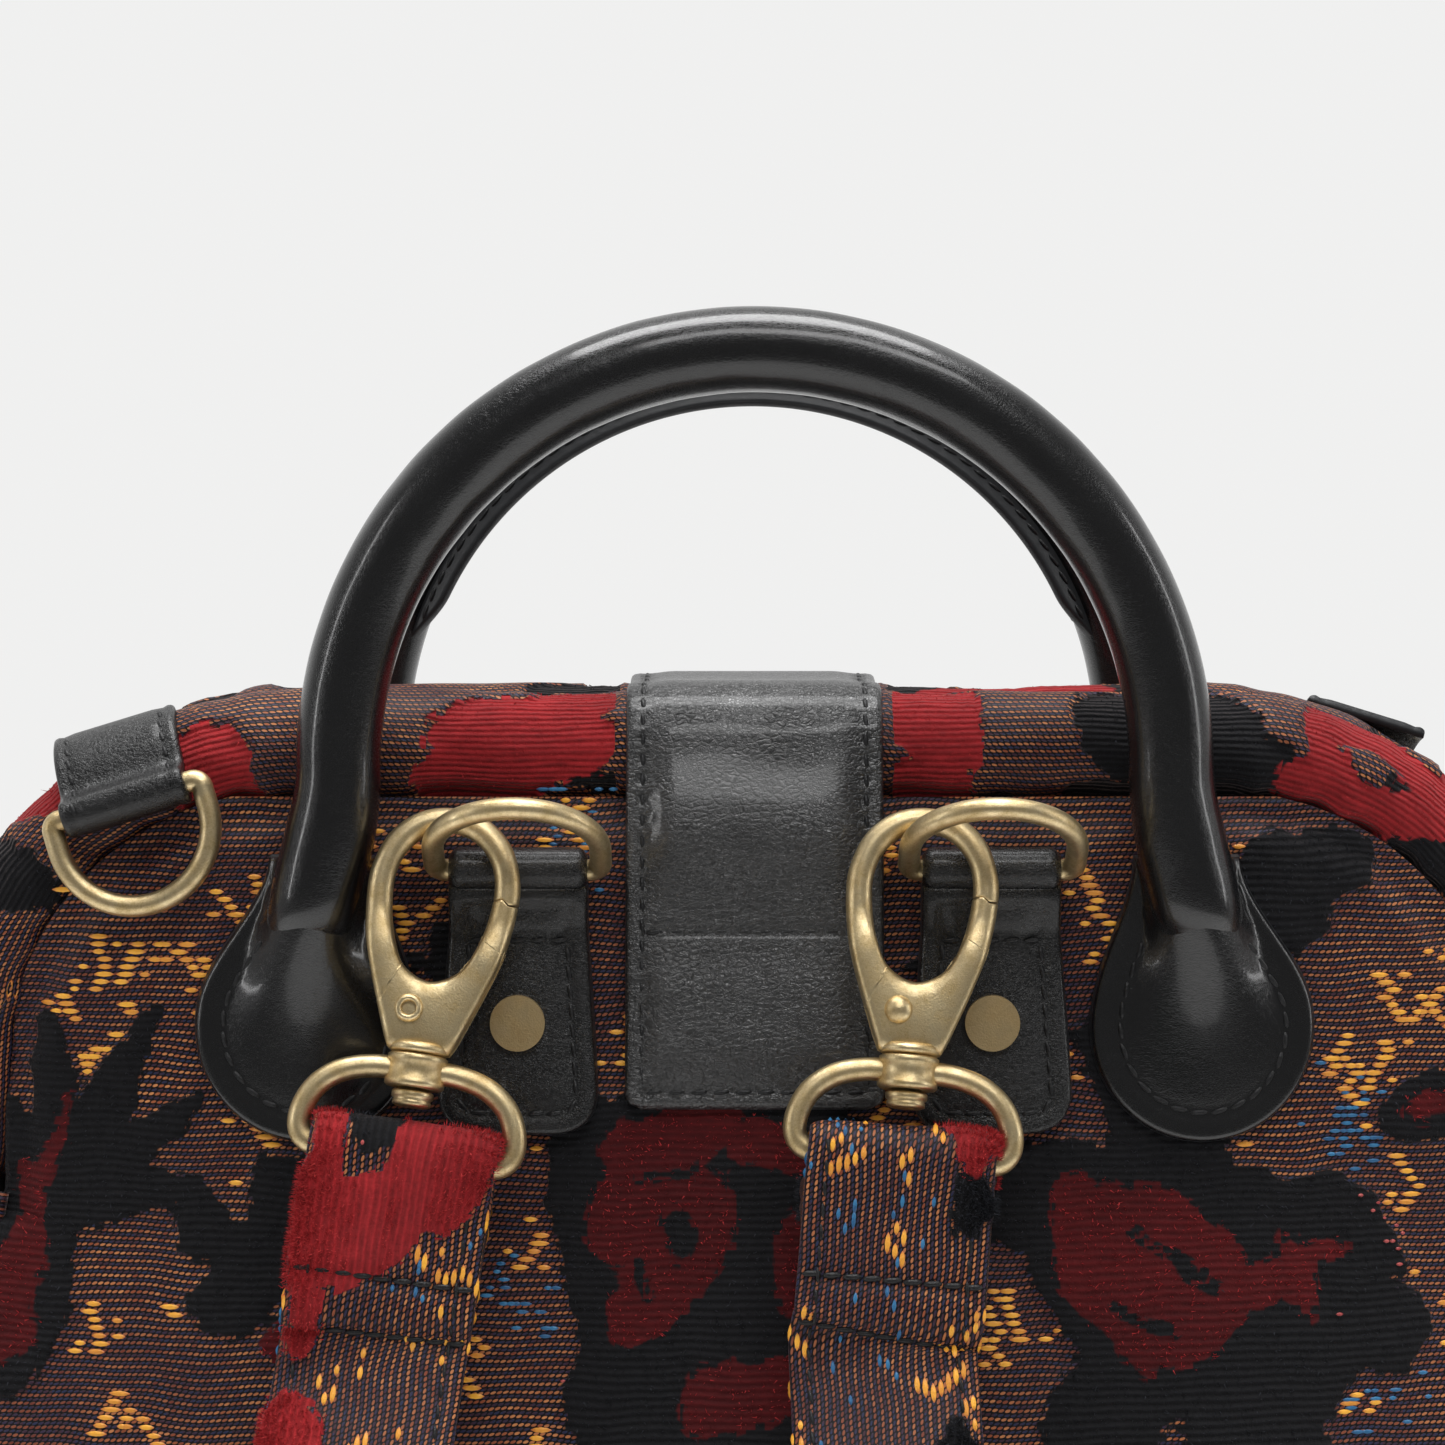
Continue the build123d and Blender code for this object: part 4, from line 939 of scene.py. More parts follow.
def cloth_mesh(
    p, uv, black, red, thick, floats, wrap=False, fibres=0, where=None, upright=False, flip=False,
    length=1.3, relief=0.95, nap_tone_and_painted_light=0.2,
):
    """One cloth skin with its pile, floats and hairs. wrap is for a closed tube, which has no inside."""
    if wrap:
        padded_p = np.concatenate([p[:, -1:], p, p[:, :1]], axis=1)
        n = grid_normals(padded_p, flip)[:, 1:-1]
    else:
        n = grid_normals(p, flip)
    u, v = uv[..., 0], uv[..., 1]
    if upright:
        u, v = v, u
    lift = pile_height(black, red, u, v, relief)
    outer = p + n * lift[..., None]
    # painted light: the rolls and straps pass 1.0 and the panels 0.2, so the crimson pile is painted lighter
    # on them; the noise adds random tone
    nap_tone_and_painted_light = nap_tone_and_painted_light * (0.75 + 0.5 * noise2(u / 17, v / 13, 41))
    fields = np.stack([black, red, nap_tone_and_painted_light], axis=-1)
    mesh = Mesh()
    rows, cols = p.shape[:2]
    cloth_uv = uv[..., ::-1] if upright else uv
    if wrap:
        mesh.add(outer, grid_faces(rows, cols, True, flip), cloth_uv, fields)
    else:
        inner = p - n * thick
        both = np.concatenate([outer.reshape(-1, 3), inner.reshape(-1, 3)])
        rim = rim_faces(rows, cols)
        faces = np.concatenate(
            [
                grid_faces(rows, cols, False, flip),
                grid_faces(rows, cols, False, not flip) + rows * cols,
                rim[:, ::-1] if flip else rim,
            ]
        )
        back = np.full((rows * cols, 3), (-9.0, -9.0, 0.5))
        mesh.add(
            both,
            faces,
            np.concatenate([cloth_uv.reshape(-1, 2), cloth_uv.reshape(-1, 2)]),
            np.concatenate([fields.reshape(-1, 3), back]),
        )
    if len(floats):
        add_floats(mesh, outer, uv, n, floats, upright)
    if fibres:
        add_fibres(mesh, outer, n, black, red, fibres, length, where)
    return mesh


def panel_half_width(z):
    """Half width of a face panel: to the gusset seam below, then inside the arms of the roll."""
    half_w, _, side, _ = section(z)
    seam = half_w - side
    inside = ARM_X - 6
    high = ROLL_Z - ARM_BEND
    bend = inside - 50 + np.sqrt(np.maximum(50.0**2 - np.maximum(z - high, 0) ** 2, 0.5))
    top = np.where(z > high, bend, inside)
    return np.where(
        z < PIVOT_Z - 8,
        seam,
        np.minimum(seam, top) * ease((z - PIVOT_Z + 8) / 8) + seam * (1 - ease((z - PIVOT_Z + 8) / 8)),
    )


def hoop_distance(x, z):
    """Distance in the XZ plane from the middle line of the mouth roll."""
    ax, corner = np.abs(x), ARM_X - ARM_BEND
    dx, dz = np.maximum(ax - corner, 0), np.maximum(z - (ROLL_Z - ARM_BEND), 0)
    round_part = np.abs(np.hypot(dx, dz) - ARM_BEND)
    straight = np.abs(ARM_X - ax)
    return np.where(z < ROLL_Z - ARM_BEND, straight, np.where(ax < corner, np.abs(ROLL_Z - z), round_part))


def panel_grid(rows, cols, z_low, z_high):
    """The outer face of the back panel, seams pinched in and the top tucked under the roll."""
    z = np.linspace(z_low, z_high, rows)[:, None] * np.ones((1, cols))
    s = np.linspace(-1, 1, cols)[None, :] * np.ones((rows, 1))
    x = s * panel_half_width(z)
    depth = face_depth(x, z)
    near = hoop_distance(x, z)
    under = ease((14.5 - near) / 5.0) * (z > PIVOT_Z - 6)
    pucker = (
        0.55 * np.sin(x / 2.9 + 2.4 * noise2(x / 14, z / 30, 8)) * ease((z - 262) / 22)
        * ease((near - 11) / 3)
    )
    billow = 1.5 * (noise2(x / 42, z / 34, 9) - 0.5) + 0.7 * (noise2(x / 17, z / 15, 10) - 0.5)
    edge = (1 - np.abs(s)) * panel_half_width(z)
    calm = ease(edge / 14)
    pinch = 1.5 * np.exp(-((edge / 2.6) ** 2)) * (z < PIVOT_Z + 4)
    depth = depth - 0.45 - 2.6 * under + pucker * 0.8 + billow * calm * (1 - under) * 0.8 - pinch
    return np.stack([x, -depth, z], axis=-1), np.stack([x, z], axis=-1)


def turn_about(p):
    q = p.copy()
    q[..., 0] *= -1
    q[..., 1] *= -1
    return q


def back_panel():
    p, uv = panel_grid(180, 186, 3.2, 291)
    black, red = pattern(uv[..., 0], uv[..., 1])
    floats = float_places(black, red, uv, 330, 60, 34)
    mesh = cloth_mesh(p, uv, black, red, CLOTH_T - 0.6, floats, fibres=9000, where=(uv[..., 1] > 150))
    obj = mesh.make("back_panel_cloth", CLOTH)
    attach(obj, "bag")
    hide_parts("back_panel")


def front_panel():
    p, uv = panel_grid(120, 128, 3.2, 291)
    black, red = pattern(uv[..., 0] + 71, uv[..., 1] + 24)
    floats = float_places(black, red, uv, 260, 50, 26)
    mesh = cloth_mesh(turn_about(p), uv, black, red, CLOTH_T - 0.6, floats)
    obj = mesh.make("front_panel_cloth", CLOTH)
    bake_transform(obj)
    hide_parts("front_panel_lower", "front_panel_upper")


def gusset(name, side):
    rows, cols = 110, 48
    z = np.linspace(3.2, PIVOT_Z - 0.5, rows)[:, None] * np.ones((1, cols))
    t = np.linspace(-1, 1, cols)[None, :] * np.ones((rows, 1))
    half_w, half_d, bulge, face = section(z)
    seam_y = half_d - face
    r = (seam_y**2 + bulge**2) / (2 * bulge)
    y = t * seam_y
    x = half_w - (r - np.sqrt(np.maximum(r**2 - y**2, 0.1)))
    edge = (1 - np.abs(t)) * seam_y
    sag = 2.2 * (noise2(y / 30, z / 26, 12) - 0.5) * ease(edge / 10)
    x = (
        x - 0.45
        + sag - 1.5 * np.exp(-((edge / 2.6) ** 2)) - 1.6 * ease((z - 205) / 17) * ease(1 - np.abs(y) / 9)
    )
    # side = +1 runs from the back seam to the front seam; the other gusset is the half turn of it
    p = np.stack([x, y, z], axis=-1)
    uv = np.stack([y * 1.05 + 158, z], axis=-1)
    black, red = pattern(uv[..., 0] + (0 if side > 0 else 97), uv[..., 1] + (0 if side > 0 else 40))
    floats = float_places(black, red, uv, 110, 22, 10)
    if side < 0:
        p[..., 0] *= -1
    mesh = cloth_mesh(p, uv, black, red, CLOTH_T - 0.6, floats, flip=side < 0)
    obj = mesh.make(name + "_cloth", CLOTH)
    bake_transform(obj)
    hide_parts(name)


def pleat(name, side):
    """The cloth folded in between the two arms of the frame; on the bag it fans out as the mouth opens, but
    this mesh keeps one fixed shape.
    """
    rows, cols = 44, 27
    z = np.linspace(PIVOT_Z - 12, 268, rows)[:, None] * np.ones((1, cols))
    t = np.linspace(-1, 1, cols)[None, :] * np.ones((rows, 1))
    fold = 1 - np.abs(t)
    depth = 20 * ease((z - PIVOT_Z + 16) / 20) * (1 - 0.25 * ease((z - 245) / 23))
    soft = 0.8 * (noise2(t * 3, z / 9, 14) - 0.5)
    x = ARM_X - 7 - depth * fold**0.9 + soft * fold
    y = t * 9.5 * (0.25 + 0.75 * np.abs(t)) + soft * 0.3
    x = x - ease((z - 242) / 26) * 10
    p = np.stack([side * x, y, z], axis=-1)
    uv = np.stack([t * 24 + side * 60, z], axis=-1)
    black, red = pattern(uv[..., 0], uv[..., 1])
    mesh = cloth_mesh(p, uv, black, red, 1.2, np.zeros((0, 6)), flip=side < 0, relief=0.5)
    obj = mesh.make(name + "_cloth", CLOTH)
    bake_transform(obj)
    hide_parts(name)


BACK_ROLL = (
    [
        ("red", "e", (-122, 2, 12, 9, 60)),
        ("black", "e", (-133, -8, 12, 7, 70)),
        ("black", "e", (-136, 12, 16, 6, 80)),
        ("red", "e", (-96, 21, 8, 11, 20)),
        ("red", "t", (-104, 14, 4, -92, 30, 6)),
        ("black", "e", (-108, -2, 7, 4, 10)),
        ("red", "e", (-41, 14, 17, 11, 8)),
        ("red", "e", (-48, 24, 13, 8, -8)),
        ("red", "e", (-32, 2, 9, 7, 30)),
        ("black", "e", (-27, 24, 7, 3.5, 20)),
        ("red", "e", (32, 8, 9, 14, -12)),
        ("red", "e", (30, 26, 8, 8, 0)),
        ("black", "e", (42, 30, 5, 4, 0)),
        ("black", "e", (72, 12, 17, 12, 18)),
        ("black", "e", (84, 24, 15, 8, -6)),
        ("black", "e", (64, 28, 9, 5, 10)),
        ("black", "e", (88, -4, 10, 6, 0)),
        ("red", "e", (111, 8, 17, 17, 20)),
        ("red", "e", (104, 24, 12, 7, 0)),
        ("cut", "e", (108, 14, 6, 3, 10)),
        ("cut", "e", (116, 2, 4, 3, 40)),
        ("black", "e", (122, 20, 13, 8, 40)),
        ("red", "e", (0, 12, 15, 9, 0)),
        ("black", "e", (150, 8, 12, 13, 0)),
        ("red", "e", (172, 4, 9, 9, 0)),
        ("black", "e", (-166, 10, 12, 12, 0)),
        ("red", "e", (-150, 6, 8, 12, 0)),
    ]
    + bloom(-70, -22, 15, 6, 0)
    + bloom(58, -20, 14, 6, 20)
)


def roll_grid(rows, cols):
    """Middle line of the back hoop with its frame, as a closed tube of cloth."""
    straight, quarter, top = 21.0, ARM_BEND * math.pi / 2, 2 * (ARM_X - ARM_BEND)
    total = 2 * straight + 2 * quarter + top
    s = np.linspace(0, total, rows)
    x, z, nx, nz = (np.zeros(rows) for _ in range(4))
    low = ROLL_Z - ARM_BEND
    for i, d in enumerate(s):
        if d < straight:
            x[i], z[i], nx[i], nz[i] = -ARM_X, low - straight + d, -1, 0
        elif d < straight + quarter:
            a = (d - straight) / ARM_BEND
            x[i], z[i] = -(ARM_X - ARM_BEND) - ARM_BEND * math.cos(a), low + ARM_BEND * math.sin(a)
            nx[i], nz[i] = -math.cos(a), math.sin(a)
        elif d < straight + quarter + top:
            x[i], z[i], nx[i], nz[i] = -(ARM_X - ARM_BEND) + d - straight - quarter, ROLL_Z, 0, 1
        elif d < straight + 2 * quarter + top:
            a = (d - straight - quarter - top) / ARM_BEND
            x[i], z[i] = ARM_X - ARM_BEND + ARM_BEND * math.sin(a), low + ARM_BEND * math.cos(a)
            nx[i], nz[i] = math.sin(a), math.cos(a)
        else:
            x[i], z[i], nx[i], nz[i] = ARM_X, low - (d - straight - 2 * quarter - top), 1, 0
    u = s - total / 2
    phi = np.linspace(-math.pi, math.pi, cols, endpoint=False)
    uu, pp = np.meshgrid(u, phi, indexing="ij")
    vv = pp * ROLL_R
    end = np.minimum(s, total - s)[:, None] * np.ones((1, cols))
    bend = ease((np.abs(uu) - 78) / 12) * ease((174 - np.abs(uu)) / 12)
    inner = ease((np.abs(pp) - 1.5) / 1.2)
    pressed = ease((25 - np.abs(uu)) / 3)
    radius = (
        ROLL_R - 0.9 - 0.25 * pressed + (1.1 - 0.8 * pressed) * (noise2(uu / 21, vv / 16, 15) - 0.5)
        + 0.7 * (noise2(uu / 8, vv / 13, 16) - 0.5)
    )
    radius += bend * (0.15 + 0.55 * inner) * np.sin(uu / 1.55 + 2.2 * noise2(uu / 12, vv / 9, 17))
    radius += 0.3 * np.sin(uu / 3.4 + 3 * noise2(uu / 20, vv / 20, 18)) * ease((np.abs(pp) - 0.9) / 0.8)
    # the seam line under the roll, on the side of the panel
    radius -= 1.0 * np.exp(-(((pp - 2.35) / 0.20) ** 2))
    radius *= np.sqrt(np.clip(1 - (1 - np.clip(end / 11, 0, 1)) ** 2, 0.0, 1)) * 0.985 + 0.015
    cx, cz = x[:, None], z[:, None]
    out = np.cos(pp) * radius
    across = np.sin(pp) * radius
    px = cx + nx[:, None] * out
    pz = cz + nz[:, None] * out
    py = -(ROLL_Y + across)
    py = np.where(py > -0.2, -0.2, py)
    return np.stack([px, py, pz], axis=-1), np.stack([uu, vv], axis=-1)


def cap_ends(mesh, rows, cols):
    """Closes both ends of a tube added first to the mesh."""
    centre = mesh.points[0].reshape(rows, cols, 3)
    base = mesh.count
    tips = np.stack([centre[0].mean(0), centre[-1].mean(0)])
    mesh.points.append(tips)
    mesh.uv.append(np.zeros((2, 2)))
    mesh.fields.append(np.full((2, 3), (-9.0, -9.0, 0.5)))
    j = np.arange(cols)
    k = (j + 1) % cols
    none = np.full(cols, -1)
    first = np.stack([k, j, np.full(cols, base), none], axis=1)
    last = np.stack([(rows - 1) * cols + j, (rows - 1) * cols + k, np.full(cols, base + 1), none], axis=1)
    mesh.faces.append(np.concatenate([first, last]))
    mesh.kinds.append(np.zeros(2 * cols, int))
    mesh.count += 2


def mouth_roll(name, front):
    rows, cols = (300, 66) if front else (350, 78)
    p, uv = roll_grid(rows, cols)
    if front:
        black, red = pattern(uv[..., 0] + 40, uv[..., 1] + 236)
        p = turn_about(p)
    else:
        black, red = pattern(uv[..., 0], uv[..., 1], BACK_ROLL, None)
    pressed = ease((24.5 - np.abs(uv[..., 0])) / 1.5)
    black, red = black - 9 * pressed, red - 9 * pressed
    floats = float_places(black, red, uv, 60 if front else 110, 22, 10)
    floats = floats[np.abs(floats[:, 0]) > 25]
    top = np.abs(uv[..., 1]) < 34
    mesh = cloth_mesh(
        p,
        uv,
        black,
        red,
        0,
        floats,
        wrap=True,
        fibres=6000 if front else 22000,
        where=top,
        flip=True,
        # painted light: the pile of the roll is painted lighter than on the panels
        nap_tone_and_painted_light=1.0,
    )
    cap_ends(mesh, rows, cols)
    obj = mesh.make(name + "_cloth", CLOTH)
    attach(obj, "front_frame" if front else "bag")
    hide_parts(name)


# ---------------------------------------------------------------- leather pieces


def outline_distance(px, pz, loop):
    """Distance of points to a closed outline."""
    a, b = loop, np.roll(loop, -1, axis=0)
    d = b - a
    best = np.full(px.shape, 1e9)
    for (ax, az), (dx, dz) in zip(a, d):
        t = np.clip(((px - ax) * dx + (pz - az) * dz) / (dx * dx + dz * dz + 1e-9), 0, 1)
        best = np.minimum(best, np.hypot(px - ax - t * dx, pz - az - t * dz))
    return best


def even_loop(points, count):
    """A closed outline resampled to evenly spaced points."""
    pts = np.asarray(points, float)
    closed = np.concatenate([pts, pts[:1]])
    step = np.hypot(*np.diff(closed, axis=0).T)
    along = np.concatenate([[0], np.cumsum(step)])
    at = np.linspace(0, along[-1], count, endpoint=False)
    return np.stack([np.interp(at, along, closed[:, k]) for k in (0, 1)], axis=1)


def round_corners(corners, radii, steps=10):
    """A polygon with rounded corners, as points."""
    out = []
    n = len(corners)
    for i, (corner, radius) in enumerate(zip(corners, radii)):
        c = np.array(corner, float)
        a, b = np.array(corners[i - 1], float) - c, np.array(corners[(i + 1) % n], float) - c
        a, b = a / np.linalg.norm(a), b / np.linalg.norm(b)
        half = math.acos(np.clip(a @ b, -1, 1)) / 2
        cut = radius / math.tan(half)
        start, finish = c + a * cut, c + b * cut
        for k in range(steps + 1):
            t = k / steps
            out.append((1 - t) ** 2 * start + 2 * t * (1 - t) * c + t * t * finish)
    return np.array(out)


RINGS = np.array(
    [0.0, 0.12, 0.25, 0.38, 0.5, 0.6, 0.69, 0.76, 0.82, 0.865, 0.9, 0.93, 0.955, 0.972, 0.984, 0.993, 1.0]
)


def leather_plate(mesh, loop, centre, top_fn, low_fn, thick_at_edge=2.2, uv_shift=(0, 0), edge_kind=1):
    """A leather piece over the cloth.

    loop: its outline in x and z; top_fn(x, z, d): outer depth; low_fn: depth of its underside.
    """
    n = len(loop)
    rings = RINGS[1:]
    x = centre[0] + rings[:, None] * (loop[None, :, 0] - centre[0])
    z = centre[1] + rings[:, None] * (loop[None, :, 1] - centre[1])
    d = outline_distance(x, z, loop[:: max(1, n // 90)])
    d[-1] = 0
    y = -top_fn(x, z, d)
    top = np.stack([x, y, z], axis=-1)
    mid_y = -top_fn(np.array([centre[0]]), np.array([centre[1]]), np.array([99.0]))
    middle = np.array([[centre[0], mid_y[0], centre[1]]])
    rim_x, rim_z = loop[:, 0], loop[:, 1]
    low = np.stack([rim_x, -low_fn(rim_x, rim_z), rim_z], axis=-1)
    high = top[-1]
    out_way = unit(np.stack([rim_x - centre[0], 0 * rim_x, rim_z - centre[1]], axis=-1))
    side_rows = []
    for t in (0.25, 0.5, 0.75, 1.0):
        bulge = 0.32 * math.sin(math.pi * t) if t < 1 else 0
        side_rows.append(high * (1 - t) + low * t + out_way * bulge)
    points = np.concatenate(
        [middle, top.reshape(-1, 3)] + side_rows + [middle * [1, 0, 1] + [[0, low[:, 1].mean(), 0]]]
    )
    uv = np.stack([points[:, 0] + uv_shift[0], points[:, 2] + uv_shift[1]], axis=1)
    k = len(rings)
    face_rows = grid_faces(k, n, True) + 1
    fan = np.stack([np.zeros(n, int), 1 + (np.arange(n) + 1) % n, 1 + np.arange(n)], axis=1)
    sides = grid_faces(5, n, True) + 1 + (k - 1) * n
    last = 1 + (k + 3) * n
    under = np.stack([np.full(n, last + n), last + np.arange(n), last + (np.arange(n) + 1) % n], axis=1)
    base = mesh.count
    mesh.add(points, face_rows[:, ::-1], uv, kind=0)
    for extra, kind in ((fan[:, ::-1], 0), (sides[:, ::-1], edge_kind), (under[:, ::-1], edge_kind)):
        extra = extra + base
        if extra.shape[1] == 3:
            extra = np.concatenate([extra, np.full((len(extra), 1), -1)], axis=1)
        mesh.faces.append(extra)
        mesh.kinds.append(np.full(len(extra), kind))
    return mesh


def capsule(length, radius, around=8):
    """A stitch: a rounded rod along x."""
    ts = np.array([-1, -0.86, -0.5, 0, 0.5, 0.86, 1.0])
    rs = np.array([0.12, 0.62, 0.95, 1.0, 0.95, 0.62, 0.12])
    a = np.linspace(0, 2 * math.pi, around, endpoint=False)
    p = np.zeros((len(ts), around, 3))
    for i, (t, r) in enumerate(zip(ts, rs)):
        p[i, :, 0] = t * length / 2
        p[i, :, 1] = np.cos(a) * radius * r
        p[i, :, 2] = np.sin(a) * radius * r * 0.8
    return p


def add_stitches(
    mesh, line, normal, pitch=3.4, length=2.9, radius=0.42, lift=0.02, kind=2, skew=0.12, start=0.5
):
    """Stitches along a line of points, each lying on the surface with that normal."""
    line, normal = np.asarray(line, float), np.asarray(normal, float)
    step = np.linalg.norm(np.diff(line, axis=0), axis=1)
    along = np.concatenate([[0], np.cumsum(step)])
    count = max(1, int(along[-1] / pitch))
    at = (np.arange(count) + start) * along[-1] / count
    centre = np.stack([np.interp(at, along, line[:, k]) for k in range(3)], axis=1)
    nrm = unit(np.stack([np.interp(at, along, normal[:, k]) for k in range(3)], axis=1))
    ahead = np.stack(
        [np.interp(np.minimum(at + 0.5, along[-1]), along, line[:, k]) for k in range(3)], axis=1
    )
    behind = np.stack([np.interp(np.maximum(at - 0.5, 0), along, line[:, k]) for k in range(3)], axis=1)
    way = unit(ahead - behind)
    side = unit(np.cross(nrm, way))
    way = unit(way + side * skew)
    side = unit(np.cross(nrm, way))
    shape = capsule(length, radius)
    bow = (1 - (shape[..., 0] / (length / 2)) ** 2) * 0.16
    q = (
        centre[:, None, None]
        + way[:, None, None] * shape[None, ..., 0:1]
        + side[:, None, None] * shape[None, ..., 1:2]
        + nrm[:, None, None] * (shape[None, ..., 2:3] + bow[None, ..., None] + lift)
    )
    per = shape.shape[0] * shape.shape[1]
    faces = (
        (grid_faces(*shape.shape[:2], True)[None] + per * np.arange(count)[:, None, None]).reshape(-1, 4)
    )
    mesh.add(q, faces, kind=kind)
    return mesh


def inset_loop(loop, centre, inset):
    """The outline moved in by a distance, along its own normals."""
    ahead, behind = np.roll(loop, -1, axis=0), np.roll(loop, 1, axis=0)
    way = ahead - behind
    way /= np.linalg.norm(way, axis=1, keepdims=True)
    inward = np.stack([-way[:, 1], way[:, 0]], axis=1)
    sign = np.sign(((np.array(centre) - loop) * inward).sum(1).mean())
    return loop + inward * inset * sign


def plate_top(thick, groove=4.6, dome=0.5, cross=()):
    """Outer surface of a flat leather piece: rolled edge, stitch groove, soft dome."""

    def depth(x, z, d):
        edge = np.sqrt(np.clip(1 - (1 - np.clip(d / 1.5, 0, 1)) ** 2, 0, 1))
        rise = thick - 1.1 + 1.1 * edge
        rise = rise - 0.42 * np.exp(-(((d - groove) / 0.75) ** 2)) * (d > 1.5)
        rise = rise + dome * ease((d - groove) / 6)
        for level in cross:
            rise = rise - 0.5 * np.exp(-(((z - level) / 0.7) ** 2)) * ease((d - 3.5) / 1.5)
        return face_depth(x, z) + rise

    return depth


def surface_line(points, top_fn, d):
    """Points on a plate, with normals straight out from the bag."""
    x, z = points[:, 0], points[:, 1]
    y = -top_fn(x, z, np.full(len(x), float(d)))
    line = np.stack([x, y, z], axis=1)
    return line, np.tile([0.0, -1.0, 0.08], (len(line), 1))


def patch_outline(side):
    """The teardrop patch of one handle leg."""
    x0, low, top, half = side * 78.0, 232.0, 281.0, 19.5
    round_z = low + half
    pts = []
    for a in np.linspace(math.pi, 2 * math.pi, 40):
        pts.append((x0 + half * math.cos(a), round_z + half * math.sin(a)))
    for t in np.linspace(0.03, 1, 30):
        w = half + (9.2 - half) * ease(t**1.1)
        z = round_z + (top - round_z) * t
        pts.append((x0 - side * 2.6 * ease((z - 255) / 26) + w, z))
    for t in np.linspace(1, 0.03, 30):
        w = half + (9.2 - half) * ease(t**1.1)
        z = round_z + (top - round_z) * t
        pts.append((x0 - side * 2.6 * ease((z - 255) / 26) - w, z))
    return even_loop(pts, 220)


def leg_x(z):
    """How far from the middle a handle leg stands at each height."""
    return 72 + 5.6 * ease((297 - z) / 34)


def leg_ridge(x, z, side):
    """How far the rolled leg still stands up out of its patch on the way down."""
    front = HANDLE_Y + HANDLE_R - 0.35 - face_depth(side * leg_x(z), z) - 2.6
    fade = ease((z - 233) / 45) ** 1.25
    wide = 8.3 + 9.5 * ease((279 - z) / 38)
    t = np.clip((x - side * leg_x(z)) / wide, -0.999, 0.999)
    power = 0.5 + 1.5 * ease((280 - z) / 30)
    return front * fade * (1 - t * t) ** power


def handle_patches(front):
    mesh = Mesh()
    for side in (-1, 1):
        loop = patch_outline(side)

        def top(x, z, d, side=side):
            edge = np.sqrt(np.clip(1 - (1 - np.clip(d / 1.5, 0, 1)) ** 2, 0, 1))
            sewn = 1 - ease((z - 266) / 8)
            rise = 1.5 + 1.1 * edge - 0.42 * sewn * np.exp(-(((d - 5.0) / 0.8) ** 2)) * (d > 1.5)
            rise = rise + 0.5 * ease((d - 5) / 6)
            hold = ease(d / 4.5) * sewn + (1 - sewn)
            return face_depth(x, z) + rise + leg_ridge(x, z, side) * hold

        centre = (side * 78.0, 252.0)
        leather_plate(mesh, loop, centre, top, lambda x, z: face_depth(x, z) - 0.5)
        mesh.kinds = [np.where(k == 0, 3, k) for k in mesh.kinds]
        inner = inset_loop(loop, centre, 5.0)
        inner = inner[inner[:, 1] < 267]
        order = np.argsort(np.arctan2(inner[:, 0] - centre[0], -(inner[:, 1] - 256)))
        line, normal = surface_line(inner[order], top, 5.0)
        add_stitches(mesh, line, normal, pitch=3.5, length=3.0, radius=0.45)
    return mesh


def handle_rings():
    """Sections of the rolled handle: middle point, way along, half width and half depth."""
    rows = []
    for a in np.linspace(0, 180, 190):
        t = math.radians(a)
        rows.append((ARCH_R * math.cos(t), ARCH_Z + ARCH_R * math.sin(t), HANDLE_Y, HANDLE_R, HANDLE_R))
    leg = []
    for z in np.linspace(294.5, 262, 40):
        x = float(leg_x(z))
        a = HANDLE_R + 0.5 * ease((297 - z) / 14)
        y = HANDLE_Y - 3.0 * ease((276 - z) / 14)
        b = (HANDLE_R + 0.5 * ease((297 - z) / 14)) * (1 - 0.5 * ease((274 - z) / 12))
        leg.append((x, z, y, a, b))
    right = leg[::-1]
    left = [(-x, z, y, a, b) for x, z, y, a, b in leg]
    return right + rows + left


